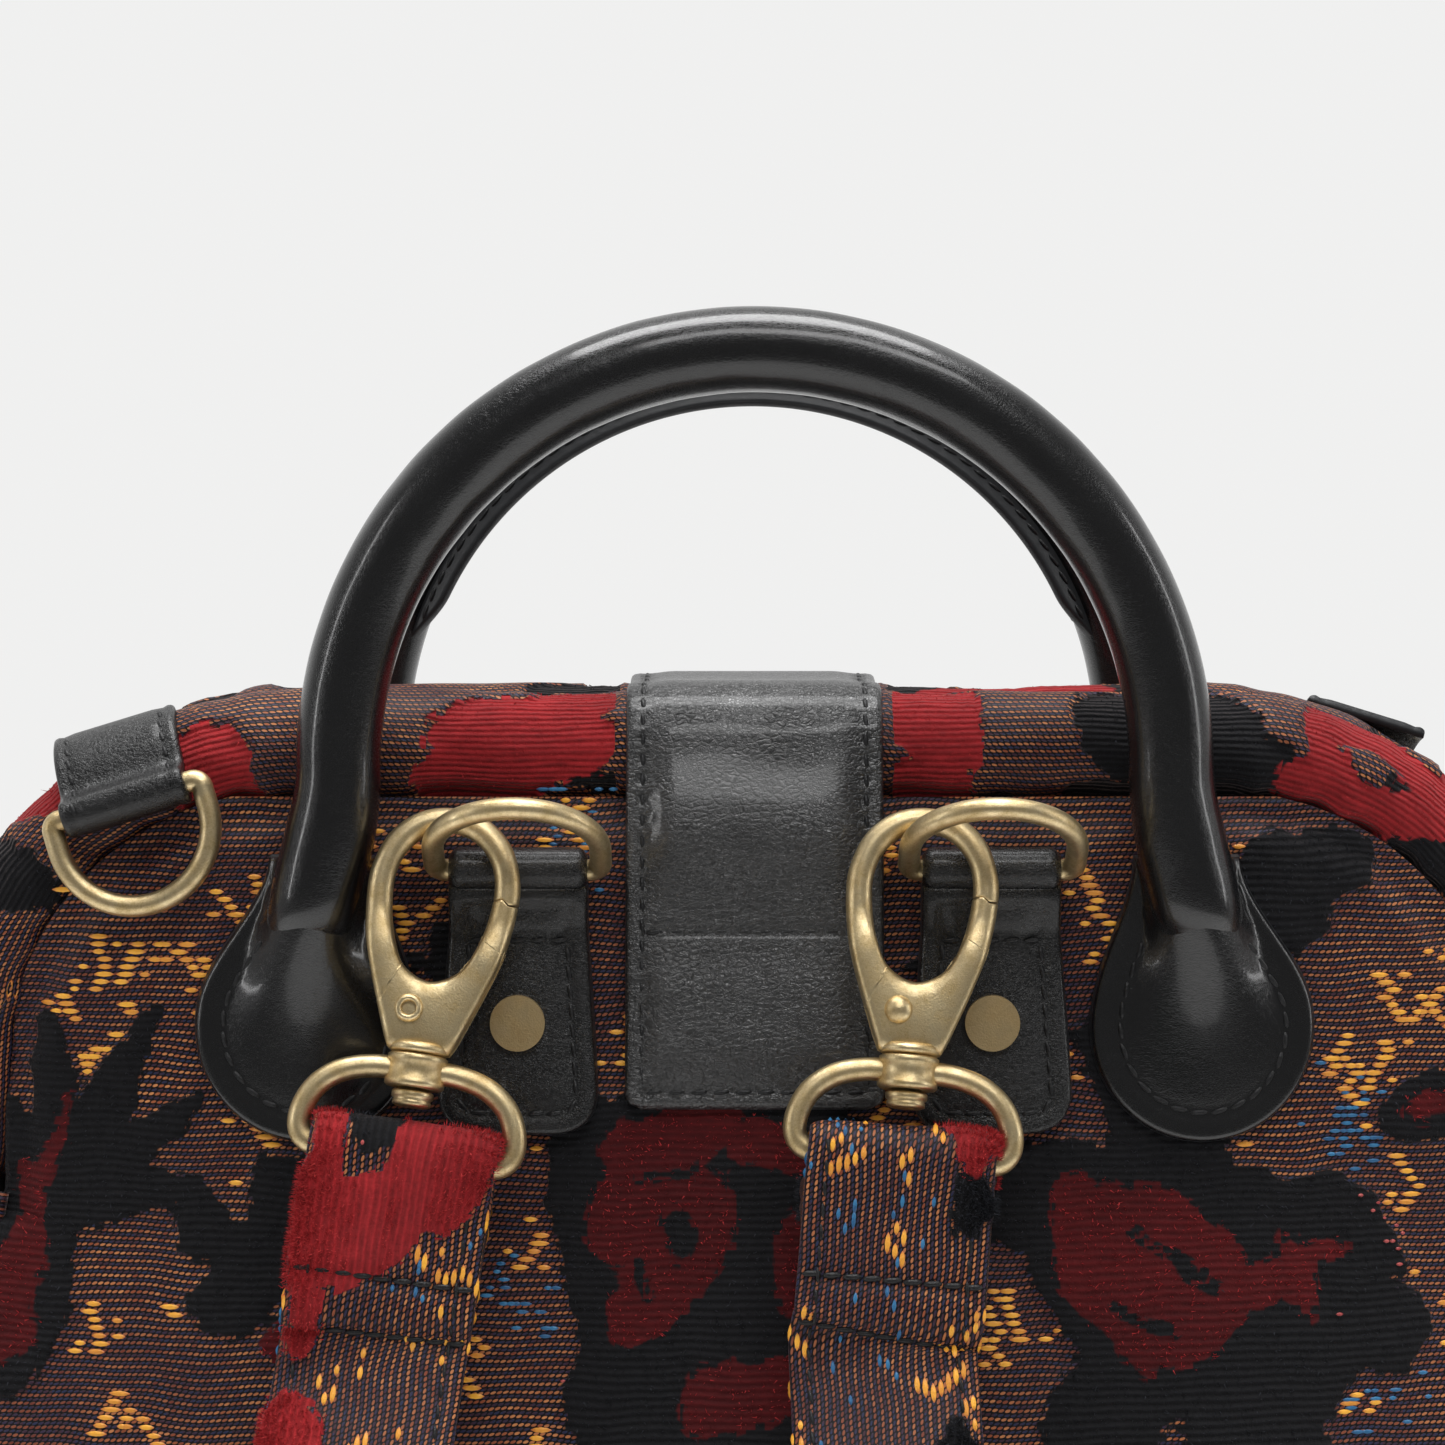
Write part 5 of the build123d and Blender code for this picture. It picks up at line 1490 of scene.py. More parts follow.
def handle(name, front):
    mesh = handle_patches(front)
    rows = np.array(handle_rings())
    centre = np.stack([rows[:, 0], -rows[:, 2], rows[:, 1]], axis=1)
    way = unit(np.gradient(centre, axis=0))
    depth_way = np.tile([0.0, -1.0, 0.0], (len(rows), 1))
    wide_way = unit(np.cross(way, depth_way))
    depth_way = unit(np.cross(wide_way, way))
    around = 44
    a = np.linspace(0, 2 * math.pi, around, endpoint=False)
    along = np.concatenate([[0], np.cumsum(np.linalg.norm(np.diff(centre, axis=0), axis=1))])
    ripple = (
        0.10 * (noise2(along[:, None] / 5, np.cos(a)[None] * 2 + 4, 21) - 0.5)
        + 0.22 * (noise2(along[:, None] / 16, np.sin(a)[None] * 2 + 4, 22) - 0.5)
    )
    p = (
        centre[:, None]
        + wide_way[:, None] * (np.cos(a)[None] * (rows[:, 3:4] + ripple))[..., None]
        + depth_way[:, None] * (np.sin(a)[None] * (rows[:, 4:5] + ripple))[..., None]
    )
    uv = np.stack(
        [along[:, None] * np.ones((1, around)), a[None] * HANDLE_R * np.ones((len(rows), 1))], axis=-1
    )
    tube = Mesh()
    tube.add(p, grid_faces(len(rows), around, True, True), uv, kind=3)
    cap_ends(tube, len(rows), around)
    base = mesh.count
    mesh.points += tube.points
    mesh.uv += tube.uv
    mesh.fields += tube.fields
    mesh.faces += [np.where(f >= 0, f + base, -1) for f in tube.faces]
    mesh.kinds += tube.kinds
    mesh.count += tube.count
    # the seam that closes the roll, a stitched lip on the side of the mouth
    lean = math.radians(38 if front else 62)
    t = np.radians(np.linspace(12, 168, 150))
    lip = []
    profile = round_corners([(5.5, -1.2), (11.0, -1.1), (11.0, 1.1), (5.5, 1.2)], [0.2, 0.9, 0.9, 0.2], 4)
    for ang in t:
        radial = np.array([math.cos(ang), 0, math.sin(ang)])
        mid = np.array([0, -HANDLE_Y, ARCH_Z]) + radial * ARCH_R
        out = -radial * math.cos(lean) + np.array([0, 1, 0]) * math.sin(lean)
        side_way = np.cross(out, np.cross(radial, [0, 1, 0]))
        fade = ease((math.degrees(ang) - 12) / 14) * ease((168 - math.degrees(ang)) / 14)
        lip.append([mid + out * (5.5 + (q[0] - 5.5) * fade) + side_way * q[1] for q in profile])
    lip = np.array(lip)
    mesh.add(lip, grid_faces(len(t), len(profile), True), kind=1)
    for face_side in (-1, 1):
        line, normal = [], []
        for ang in t[8:-8]:
            radial = np.array([math.cos(ang), 0, math.sin(ang)])
            mid = np.array([0, -HANDLE_Y, ARCH_Z]) + radial * ARCH_R
            out = -radial * math.cos(lean) + np.array([0, 1, 0]) * math.sin(lean)
            side_way = np.cross(out, np.cross(radial, [0, 1, 0]))
            line.append(mid + out * 8.6 + side_way * face_side * 1.15)
            normal.append(side_way * face_side)
        add_stitches(mesh, line, normal, pitch=3.5, length=2.9, radius=0.4)
    if front:
        mesh.points = [turn_about(q) for q in mesh.points]
    obj = mesh.make(name + "_leather", [leather, edge_paint, stitch, handle_leather], tidy=True)
    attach(obj, "front_frame" if front else "bag")
    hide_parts(name)


def ring_tab(name, side):
    """Folded tab with its fold round the ring's bar, stitched down and riveted."""
    x0 = side * 41.0
    bar_z, low = 279.0, 234.0
    bar_y = face_depth(x0, bar_z) + 4.45
    corners = [
        (x0 - 14.25, low),
        (x0 + 14.25, low),
        (x0 + 12.0, 268.0),
        (x0 + 12.0, 276.5),
        (x0 - 12.0, 276.5),
        (x0 - 12.0, 268.0),
    ]
    loop = even_loop(round_corners(corners, [8.0, 8.0, 0.5, 0.3, 0.3, 0.5]), 150)
    mesh = Mesh()
    flat = plate_top(4.2, groove=3.6, dome=0.35, cross=(267.0,))

    def top(x, z, d):
        rise = ease((z - 266) / 9)
        return flat(x, z, d) + rise * (bar_y + 3.6 - face_depth(x, z) - 4.2) * 0.9

    leather_plate(mesh, loop, (x0, 253.0), top, lambda x, z: face_depth(x, z) - 0.4)
    # the fold
    a = np.radians(np.linspace(-120, 150, 30))
    u = np.linspace(-12, 12, 34)
    fold, inside = [], []
    for s in u:
        edge = 1 - 0.35 * math.exp(-(((12 - abs(s)) / 0.7) ** 2))
        fold.append(
            [(x0 + s, -bar_y - math.cos(t) * 4.0 * edge, bar_z + math.sin(t) * 4.0 * edge) for t in a]
        )
        inside.append([(x0 + s, -bar_y - math.cos(t) * 2.1, bar_z + math.sin(t) * 2.1) for t in a])
    fold, inside = np.array(fold), np.array(inside)
    n, m = fold.shape[:2]
    uv = np.stack([np.repeat(u[:, None], m, 1), np.repeat(a[None] * 4, n, 0) + 280], axis=-1)
    both = np.concatenate([fold.reshape(-1, 3), inside.reshape(-1, 3)])
    mesh.add(
        both,
        np.concatenate([grid_faces(n, m), grid_faces(n, m, False, True) + n * m]),
        np.concatenate([uv.reshape(-1, 2)] * 2),
        kind=0,
    )
    base = mesh.count - 2 * n * m
    extra = rim_faces(n, m) + base
    mesh.faces.append(extra)
    mesh.kinds.append(np.full(len(extra), 1))
    # stitches round the sides and the foot, and one row across
    inner = inset_loop(loop, (x0, 253.0), 3.6)
    inner = inner[inner[:, 1] < 267]
    order = np.argsort(np.arctan2(inner[:, 0] - x0, -(inner[:, 1] - 262)))
    line, normal = surface_line(inner[order], top, 3.6)
    add_stitches(mesh, line, normal, pitch=3.3, length=2.8)
    across = np.stack([np.linspace(x0 - 8.8, x0 + 8.8, 12), np.full(12, 267.0)], axis=1)
    line, normal = surface_line(across, top, 9)
    add_stitches(mesh, line - [0, 0.1, 0], normal, pitch=3.3, length=2.8)
    obj = mesh.make(name + "_leather", [leather, edge_paint, stitch], tidy=True)
    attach(obj, "bag")
    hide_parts(name)


def lower_tab(name, side):
    x0 = side * 104.0
    bar_z, top_z = 20.0, 44.0
    bar_y = face_depth(x0, bar_z) + 4.45
    corners = [(x0 - 15, 24.0), (x0 + 15, 24.0), (x0 + 15, top_z), (x0 - 15, top_z)]
    loop = even_loop(round_corners(corners, [0.4, 0.4, 6.0, 6.0]), 120)
    mesh = Mesh()
    flat = plate_top(4.2, groove=3.6, dome=0.3)

    def top(x, z, d):
        return flat(x, z, d) + ease((32 - z) / 8) * (bar_y + 3.4 - face_depth(x, z) - 4.2) * 0.9

    leather_plate(mesh, loop, (x0, 35.0), top, lambda x, z: face_depth(x, z) - 0.4)
    a = np.radians(np.linspace(-150, 120, 26))
    u = np.linspace(-15, 15, 30)
    fold = np.array([[(x0 + s, -bar_y - math.cos(t) * 4.0, bar_z + math.sin(t) * 4.0) for t in a] for s in u])
    inside = np.array(
        [[(x0 + s, -bar_y - math.cos(t) * 2.1, bar_z + math.sin(t) * 2.1) for t in a] for s in u]
    )
    n, m = fold.shape[:2]
    both = np.concatenate([fold.reshape(-1, 3), inside.reshape(-1, 3)])
    base = mesh.count
    mesh.add(both, np.concatenate([grid_faces(n, m), grid_faces(n, m, False, True) + n * m]), kind=0)
    extra = rim_faces(n, m) + base
    mesh.faces.append(extra)
    mesh.kinds.append(np.full(len(extra), 1))
    inner = inset_loop(loop, (x0, 35.0), 3.6)
    inner = inner[inner[:, 1] > 30]
    order = np.argsort(np.arctan2(inner[:, 0] - x0, inner[:, 1] - 30))
    line, normal = surface_line(inner[order], top, 3.6)
    add_stitches(mesh, line, normal, pitch=3.3, length=2.8)
    obj = mesh.make(name + "_leather", [leather, edge_paint, stitch], tidy=True)
    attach(obj, "bag")
    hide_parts(name)


def closure():
    """The closure strap in one length: up the back, over the roll, across the mouth and down the front."""
    pts = []
    for z in np.linspace(238.3, 288, 60):
        pts.append((-(float(face_depth(0, z)) + 2.6), z))
    for a in np.radians(np.linspace(0, 90, 34))[1:]:
        pts.append((-ROLL_Y - math.cos(a) * 12.7, ROLL_Z + math.sin(a) * 12.7))
    for y in np.linspace(-10.5, 17.5, 22):
        pts.append((y, 310.7 - 1.3 * math.sin(math.pi * (y + 10.5) / 28)))
    for a in np.radians(np.linspace(6, 78, 18)):
        pts.append((18.3 + 9.0 * math.sin(a), 301.7 + 9.0 * math.cos(a)))
    for t in np.linspace(0.12, 1, 34):
        pts.append((27.4 + 8.4 * t, 303.6 - 32.8 * t))
    path = np.array(pts)
    for _ in range(6):
        path[1:-1] = 0.25 * path[:-2] + 0.5 * path[1:-1] + 0.25 * path[2:]
    step = np.hypot(*np.diff(path, axis=0).T)
    along = np.concatenate([[0], np.cumsum(step)])
    rows = int(along[-1] / 0.95)
    at = np.linspace(0, along[-1], rows)
    py, pz = np.interp(at, along, path[:, 0]), np.interp(at, along, path[:, 1])
    way = unit(np.stack([np.gradient(py), np.gradient(pz)], axis=1))
    out_y, out_z = -way[:, 1], way[:, 0]
    half = 22.5
    s = np.concatenate([[-1, -0.992, -0.97, -0.93], np.linspace(-0.88, 0.88, 37), [0.93, 0.97, 0.992, 1]])
    ends = np.minimum(at, along[-1] - at)
    tongue = along[-1] - at
    w = half * np.ones(rows)
    w = np.where(tongue < 11, half - 11 + np.sqrt(np.maximum(11**2 - (11 - tongue) ** 2, 0)), w)
    w = np.where(at < 3, half - 3 + np.sqrt(np.maximum(9 - (3 - at) ** 2, 0)), w)
    x = s[None] * w[:, None]
    d = np.minimum((1 - np.abs(s))[None] * w[:, None], ends[:, None] * np.ones((1, len(s))))
    edge = np.sqrt(np.clip(1 - (1 - np.clip(d / 1.4, 0, 1)) ** 2, 0, 1))
    cross_at = at[np.argmin(np.abs(pz - 268.6) + 100 * (py > 0))]
    on_back = (at < along[-1] * 0.42)[:, None]
    lift = -1.0 + 1.0 * edge
    groove_d = (1 - np.abs(s))[None] * w[:, None]
    holes = 0.45 + 0.55 * np.cos(2 * math.pi * at[:, None] / 3.6)
    lift = lift - 0.62 * holes * np.exp(-(((groove_d - 3.0) / 0.8) ** 2)) * (d > 1.2)
    lift = lift - 0.42 * np.exp(-(((at[:, None] - 3.2) / 0.7) ** 2)) * (np.abs(x) < half - 2.5)
    lift = lift - 0.42 * np.exp(-(((tongue[:, None] - 3.2) / 0.7) ** 2)) * (np.abs(x) < half - 4)
    lift = lift - 0.55 * np.exp(-(((at[:, None] - cross_at) / 0.65) ** 2)) * (np.abs(x) < half - 3.2)
    lift = lift + 0.45 * ease((groove_d - 3) / 5) * ease((at[:, None] - 4) / 8)
    # the leather puffs out below the cross seam, and hangs straighter above it
    below = cross_at - at[:, None]
    lift = lift + 1.5 * ease(below / 11) * ease((at[:, None] - 2) / 9) * ease((groove_d - 2.5) / 5)
    above = at[:, None] - cross_at
    lift = lift + 2.2 * ease(above / 17) * ease((44 - above) / 27) * ease((groove_d - 2.5) / 6)
    lift = lift + 0.3 * (noise2(x / 13, at[:, None] / 9 + 0 * x, 25) - 0.5) * ease(d / 5) * on_back
    y = py[:, None] + out_y[:, None] * lift
    z = pz[:, None] + out_z[:, None] * lift
    top = np.stack([x, y, z], axis=-1)
    under_y, under_z = py - out_y * 1.7, pz - out_z * 1.7
    under = np.stack([x * 0.995, under_y[:, None] + 0 * x, under_z[:, None] + 0 * x], axis=-1)
    n, m = top.shape[:2]
    uv = np.stack([x, at[:, None] + 0 * x], axis=-1)
    mesh = Mesh()
    both = np.concatenate([top.reshape(-1, 3), under.reshape(-1, 3)])
    mesh.add(
        both,
        np.concatenate([grid_faces(n, m), grid_faces(n, m, False, True) + n * m]),
        np.concatenate([uv.reshape(-1, 2)] * 2),
        kind=0,
    )
    extra = rim_faces(n, m)
    mesh.faces.append(extra)
    mesh.kinds.append(np.full(len(extra), 1))
    normal_row = np.stack([0 * out_y, out_y, out_z], axis=1)

    def row_line(side_x, first, last):
        keep = (at > first) & (at < last)
        dip = -0.42
        return (
            np.stack(
                [np.full(keep.sum(), side_x), py[keep] + out_y[keep] * dip, pz[keep] + out_z[keep] * dip],
                axis=1,
            ),
            normal_row[keep],
        )

    for side_x in (-19.5, 19.5):
        line, normal = row_line(side_x, 3.2, along[-1] - 9)
        add_stitches(mesh, line, normal, pitch=3.6, length=3.0)
    for level in (3.2, cross_at, along[-1] - 3.6):
        i = int(np.argmin(np.abs(at - level)))
        reach = 19.3 if level < 60 else 14.5
        xs = np.linspace(-reach, reach, 20)
        line = np.stack(
            [xs, np.full(20, py[i] + out_y[i] * -0.45), np.full(20, pz[i] + out_z[i] * -0.45)], axis=1
        )
        add_stitches(mesh, line, np.tile(normal_row[i], (20, 1)), pitch=3.6, length=3.0)
    obj = mesh.make("closure_leather", [strap_leather, edge_paint, stitch], tidy=True)
    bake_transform(obj)
    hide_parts("closure_strap_base", "closure_flap")


def side_tab(name, front):
    """Leather loop round the mouth roll, holding a side ring."""
    run = 27.6
    centre_z = ROLL_Z - ARM_BEND + math.sqrt(ARM_BEND**2 - run**2)
    centre = np.array([-(ARM_X - ARM_BEND + run), -ROLL_Y, centre_z])
    tilt = math.radians(17)
    along = np.array([math.cos(tilt), 0, math.sin(tilt)])
    up = np.array([-math.sin(tilt), 0, math.cos(tilt)])
    out = np.array([0, -1.0, 0])
    reach = ROLL_R + 2.2 + 0.15 + 1.9
    prof = []
    for a in np.radians(np.linspace(78, 12, 16)):
        prof.append((math.cos(a) * 13.9, math.sin(a) * 13.9))
    for a in np.radians(np.linspace(60, -175, 26)):
        prof.append((reach + math.cos(a) * 3.95, math.sin(a) * 3.95 + 0.2))
    prof = np.array(prof)
    for _ in range(3):
        prof[1:-1] = 0.25 * prof[:-2] + 0.5 * prof[1:-1] + 0.25 * prof[2:]
    way = unit(np.gradient(prof, axis=0))
    nrm = np.stack([-way[:, 1], way[:, 0]], axis=1)
    if nrm[8] @ prof[8] < 0:
        nrm = -nrm
    half = 11.2
    s = np.concatenate([[-1, -0.985, -0.95, -0.9], np.linspace(-0.82, 0.82, 19), [0.9, 0.95, 0.985, 1]])
    d = (1 - np.abs(s)) * half
    edge = np.sqrt(np.clip(1 - (1 - np.clip(d / 1.2, 0, 1)) ** 2, 0, 1))
    lift = -0.8 + 0.8 * edge - 0.35 * np.exp(-(((d - 2.4) / 0.6) ** 2)) * (d > 1.1)
    top, under = [], []
    for (a, b), (na, nb) in zip(prof, nrm):
        for row, deep in ((top, None), (under, 1)):
            line = []
            for sx, li in zip(s * half, lift):
                k = li if deep is None else -1.8
                line.append(centre + along * sx + out * (a + na * k) + up * (b + nb * k))
            row.append(line)
    top, under = np.array(top), np.array(under)
    n, m = top.shape[:2]
    mesh = Mesh()
    both = np.concatenate([top.reshape(-1, 3), under.reshape(-1, 3)])
    mesh.add(both, np.concatenate([grid_faces(n, m), grid_faces(n, m, False, True) + n * m]), kind=0)
    extra = rim_faces(n, m)
    mesh.faces.append(extra)
    mesh.kinds.append(np.full(len(extra), 1))
    for sx in (-8.6, 8.6):
        line = np.array(
            [
                centre + along * sx + out * (a - na * 0.35) + up * (b - nb * 0.35)
                for (a, b), (na, nb) in zip(prof[1:24], nrm[1:24])
            ],
        )
        normal = np.array([out * na + up * nb for na, nb in nrm[1:24]])
        add_stitches(mesh, line, normal, pitch=3.0, length=2.4)
    if front:
        mesh.points = [turn_about(q) for q in mesh.points]
    obj = mesh.make(name + "_leather", [leather, edge_paint, stitch], tidy=True)
    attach(obj, "front_frame" if front else "bag")
    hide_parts(name)


def base_cover():
    """The leather base with a rounded edge and a row of stitches."""
    half_w, half_d, _, _ = section(np.array([3.0]))
    half_w, half_d = float(half_w[0]), float(half_d[0])
    pts = []
    sx, sy = half_w - 6, half_d - 6

    def arc(ax, ay, bx, by, cx, cy, n):
        t = np.linspace(0, 1, n, endpoint=False)
        # a flat three-point arc is close to a parabola through the same points
        l0, l1, l2 = 2 * (t - 0.5) * (t - 1), -4 * t * (t - 1), 2 * t * (t - 0.5)
        return np.stack([ax * l0 + bx * l1 + cx * l2, ay * l0 + by * l1 + cy * l2], axis=1)

    pts = np.concatenate(
        [
            arc(-sx, -sy, 0, -half_d, sx, -sy, 60),
            arc(sx, -sy, half_w, 0, sx, sy, 40),
            arc(sx, sy, 0, half_d, -sx, sy, 60),
            arc(-sx, sy, -half_w, 0, -sx, -sy, 40),
        ]
    )
    levels = [
        (0.0, 0.0), (0.86, 0.0), (0.955, 0.0), (0.985, 0.35), (0.998, 1.2), (1.001, 2.0), (0.998, 2.9),
        (0.985, 3.1), (0.0, 3.1),
    ]
    mesh = Mesh()
    rows = np.array([[(x * f, y * f, z) for x, y in pts] for f, z in levels])
    uv = rows[..., :2]
    mesh.add(rows, grid_faces(len(levels), len(pts), True, True), uv, kind=0)
    inner = pts * 0.93
    line = np.concatenate([inner, inner[:1]])
    line = np.stack([line[:, 0], line[:, 1], np.full(len(line), 0.05)], axis=1)
    add_stitches(
        mesh, line, np.tile([0, 0, -1.0], (len(line), 1)), pitch=4.0, length=3.2, radius=0.3, lift=-0.22
    )
    obj = mesh.make("base_panel_leather", [leather, edge_paint, stitch], tidy=True)
    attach(obj, "bag")
    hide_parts("base_panel")


# ---------------------------------------------------------------- lining


def lining_panel(name, front):
    rows, cols = 64, 64
    z_low = 4.2 if not front else 180.0
    z = np.linspace(z_low, 281, rows)[:, None] * np.ones((1, cols))
    s = np.linspace(-1, 1, cols)[None, :] * np.ones((rows, 1))
    half = np.minimum(
        panel_half_width(z) - 1.5, np.where(z > 180, 122 - 9 * ease((z - 242) / 39), 400)
    )
    high = 242
    half = np.where(z > high, np.minimum(half, 84 + np.sqrt(np.maximum(39.9**2 - (z - high) ** 2, 1))), half)
    x = s * half
    depth = face_depth(x, z) - 2.9
    wrinkle = 1.6 * (noise2(x / 15, z / 22, 30) - 0.35) * ease((1 - np.abs(s)) * 8)
    p = np.stack([x, -(depth - wrinkle), z], axis=-1)
    uv = np.stack([x, z], axis=-1)
    return p, uv


def lining_pieces():
    p, uv = lining_panel("lining", False)
    mesh = Mesh()
    shells = [(p, uv, False)]
    # front lower part and the two sides
    q, quv = lining_panel("lining", False)
    keep = q[:, 0, 2] <= 183
    shells.append((turn_about(q[keep]), quv[keep], False))
    rows, cols = 90, 40
    z = np.linspace(4.2, 221, rows)[:, None] * np.ones((1, cols))
    t = np.linspace(-1, 1, cols)[None, :] * np.ones((rows, 1))
    half_w, half_d, bulge, face = section(z)
    seam_y = half_d - face - 1.5
    r = (seam_y**2 + bulge**2) / (2 * bulge)
    y = t * seam_y
    x = half_w - 2.9 - (r - np.sqrt(np.maximum(r**2 - y**2, 0.1))) - 1.2 * noise2(y / 15, z / 20, 31)
    x = np.minimum(x, np.where(z > 180, np.maximum(122.0, x - 40 * ease((z - 180) / 20)), 400))
    for side in (-1, 1):
        shells.append((np.stack([side * x, y, z], axis=-1), np.stack([y, z], axis=-1), side < 0))
    for points, uvs, flip in shells:
        n, m = points.shape[:2]
        nrm = grid_normals(points, flip)
        both = np.concatenate([points.reshape(-1, 3), (points - nrm * 0.6).reshape(-1, 3)])
        rim = rim_faces(n, m)
        faces = np.concatenate(
            [
                grid_faces(n, m, False, flip),
                grid_faces(n, m, False, not flip) + n * m,
                rim[:, ::-1] if flip else rim,
            ],
        )
        mesh.add(both, faces, np.concatenate([uvs.reshape(-1, 2)] * 2), kind=0)
    obj = mesh.make("lining_fabric", [lining_cloth])
    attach(obj, "bag")
    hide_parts("lining")

    p, uv = lining_panel("front_lining", True)
    p = turn_about(p)
    n, m = p.shape[:2]
    nrm = grid_normals(p)
    mesh = Mesh()
    both = np.concatenate([p.reshape(-1, 3), (p - nrm * 0.6).reshape(-1, 3)])
    mesh.add(
        both,
        np.concatenate([grid_faces(n, m), grid_faces(n, m, False, True) + n * m, rim_faces(n, m)]),
        np.concatenate([uv.reshape(-1, 2)] * 2),
    )
    obj = mesh.make("front_lining_fabric", [lining_cloth])
    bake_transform(obj)
    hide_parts("front_lining")


# ---------------------------------------------------------------- shoulder straps


def hook_frame(side, roll):
    """Origin, across, up and outward of a snap hook's own plane, as in the CAD source."""
    bar_y = float(face_depth(41.0, 279.0)) + 4.45
    origin = np.array([side * 41.0 - 12.0, -(bar_y + 4.05 + 0.4 + 2.25), 279.0])
    tilt, turn = math.radians(14), math.radians(roll)
    up = np.array([0, math.sin(tilt), math.cos(tilt)])
    across = np.array([1.0, 0, 0]) * math.cos(turn) - up * math.sin(turn)
    out = np.array([0, -math.cos(tilt), math.sin(tilt)])
    up = np.cross(out, across)
    return origin, across, up, out


def spline_point(p0, p1, p2, p3, t):
    """A point between p1 and p2 on the smooth line through all four, t from 0 to 1."""
    bend, twist = 2 * p0 - 5 * p1 + 4 * p2 - p3, 3 * p1 - p0 - 3 * p2 + p3
    return 0.5 * (2 * p1 + (p2 - p0) * t + bend * t**2 + twist * t**3)


def closed_spline(points, per=24):
    """A smooth closed line through the points."""
    pts = np.array(points, float)
    n = len(pts)
    out = []
    for i in range(n):
        p0, p1, p2, p3 = (pts[(i + k) % n] for k in (-1, 0, 1, 2))
        for t in np.linspace(0, 1, per, endpoint=False):
            out.append(spline_point(p0, p1, p2, p3, t))
    return np.array(out)


# Outlines of a snap hook in its own plane, right half, from the top down
HOOK_OUTSIDE = [
    (0, 11.5), (5.8, 10.2), (10.4, 6.2), (12.8, 0.2), (13.0, -5.5), (12.0, -12.5), (10.0, -19.0),
    (7.8, -25.0), (5.8, -30.0), (4.2, -31.2),
]
HOOK_INSIDE = [
    (0, 7.1), (4.2, 6.0), (7.3, 2.8), (8.6, -1.6), (8.3, -7.0), (7.0, -12.5), (4.6, -16.8), (0, -18.9)
]
HOOK_MIDDLE = -6.0
GATE_SPLIT, JAW_START, JAW_END = 12.0, 244.0, 333.0


def hook_radius(outline, theta):
    """Distance of a hook outline from the hook's middle, at angles in degrees."""
    half = [q for q in outline]
    mirror = [(-a, v) for a, v in half[::-1] if a > 0]
    loop = closed_spline(half + mirror)
    a, v = loop[:, 0], loop[:, 1] - HOOK_MIDDLE
    angle, radius = np.degrees(np.arctan2(v, a)) % 360, np.hypot(a, v)
    order = np.argsort(angle)
    return np.interp(np.asarray(theta) % 360, angle[order], radius[order], period=360)


def jaw_part(theta):
    """0 on the round bow, 1 on the flat jaw."""
    turn = np.abs((np.asarray(theta, float) - 270 + 180) % 360 - 180)
    return ease((88 - turn) / 45)


def hook_bar(mesh, theta, place, split_at=None, plate=0):
    """A stretch of the hook between its two outlines: round wire on the bow, flat on the jaw."""
    around = 24
    phi = np.linspace(0, 2 * math.pi, around, endpoint=False)
    rows = []
    for i, t in enumerate(theta):
        jaw = float(jaw_part(t))
        power = 2 / (2 + 2.2 * jaw)
        cs, sn = np.cos(phi), np.sin(phi)
        across = np.sign(cs) * np.abs(cs) ** power
        height = np.sign(sn) * np.abs(sn) ** power * (2.2 + 1.1 * jaw)
        if plate:
            top = (2.2 + 1.1 * jaw) * np.abs(np.clip(sn, 0, 1)) ** power
            height = plate * np.where(sn > 0, np.maximum(top, 1.5), 1.5)
        angle = np.full(around, float(t))
        if split_at == i:
            angle = angle - 3.6 * np.tanh(5 * across)
        elif split_at is not None and abs(split_at - i) < 5:
            angle = angle - 3.6 * np.tanh(5 * across) * (1 - abs(split_at - i) / 5)
        inner, outer = hook_radius(HOOK_INSIDE, angle), hook_radius(HOOK_OUTSIDE, angle)
        r = (inner + outer) / 2 + across * (outer - inner) / 2
        a = r * np.cos(np.radians(angle))
        v = HOOK_MIDDLE + r * np.sin(np.radians(angle))
        rows.append(place(a, v, height))
    rows = np.array(rows)
    part = Mesh()
    part.add(rows, grid_faces(len(theta), around, True))
    cap_ends(part, len(theta), around)
    base = mesh.count
    mesh.points += part.points
    mesh.uv += part.uv
    mesh.fields += part.fields
    mesh.faces += [np.where(q >= 0, q + base, -1) for q in part.faces]
    mesh.kinds += part.kinds
    mesh.count += part.count


def lathe(mesh, profile, place, around=40):
    """A turned shape round the hook's upright axis. profile: radius and height, closed."""
    t = np.linspace(0, 2 * math.pi, around, endpoint=False)
    rows = np.array([place(r * np.cos(t), np.full(around, v), r * np.sin(t)) for r, v in profile])
    rows = np.concatenate([rows, rows[:1]])
    mesh.add(rows, grid_faces(len(rows), around, True))


def tube(mesh, path, radius, around=16):
    """A closed round wire along a closed line."""
    path = np.asarray(path)
    way = unit(np.roll(path, -1, axis=0) - np.roll(path, 1, axis=0))
    level = np.cross(path[len(path) // 4] - path[0], path[len(path) // 2] - path[0])
    level = level / np.linalg.norm(level)
    side = unit(np.cross(way, level))
    t = np.linspace(0, 2 * math.pi, around, endpoint=False)
    rows = (
        path[:, None]
        + radius * (side[:, None] * np.cos(t)[None, :, None] + level * np.sin(t)[None, :, None])
    )
    rows = np.concatenate([rows, rows[:1]])
    mesh.add(rows, grid_faces(len(rows), around, True))


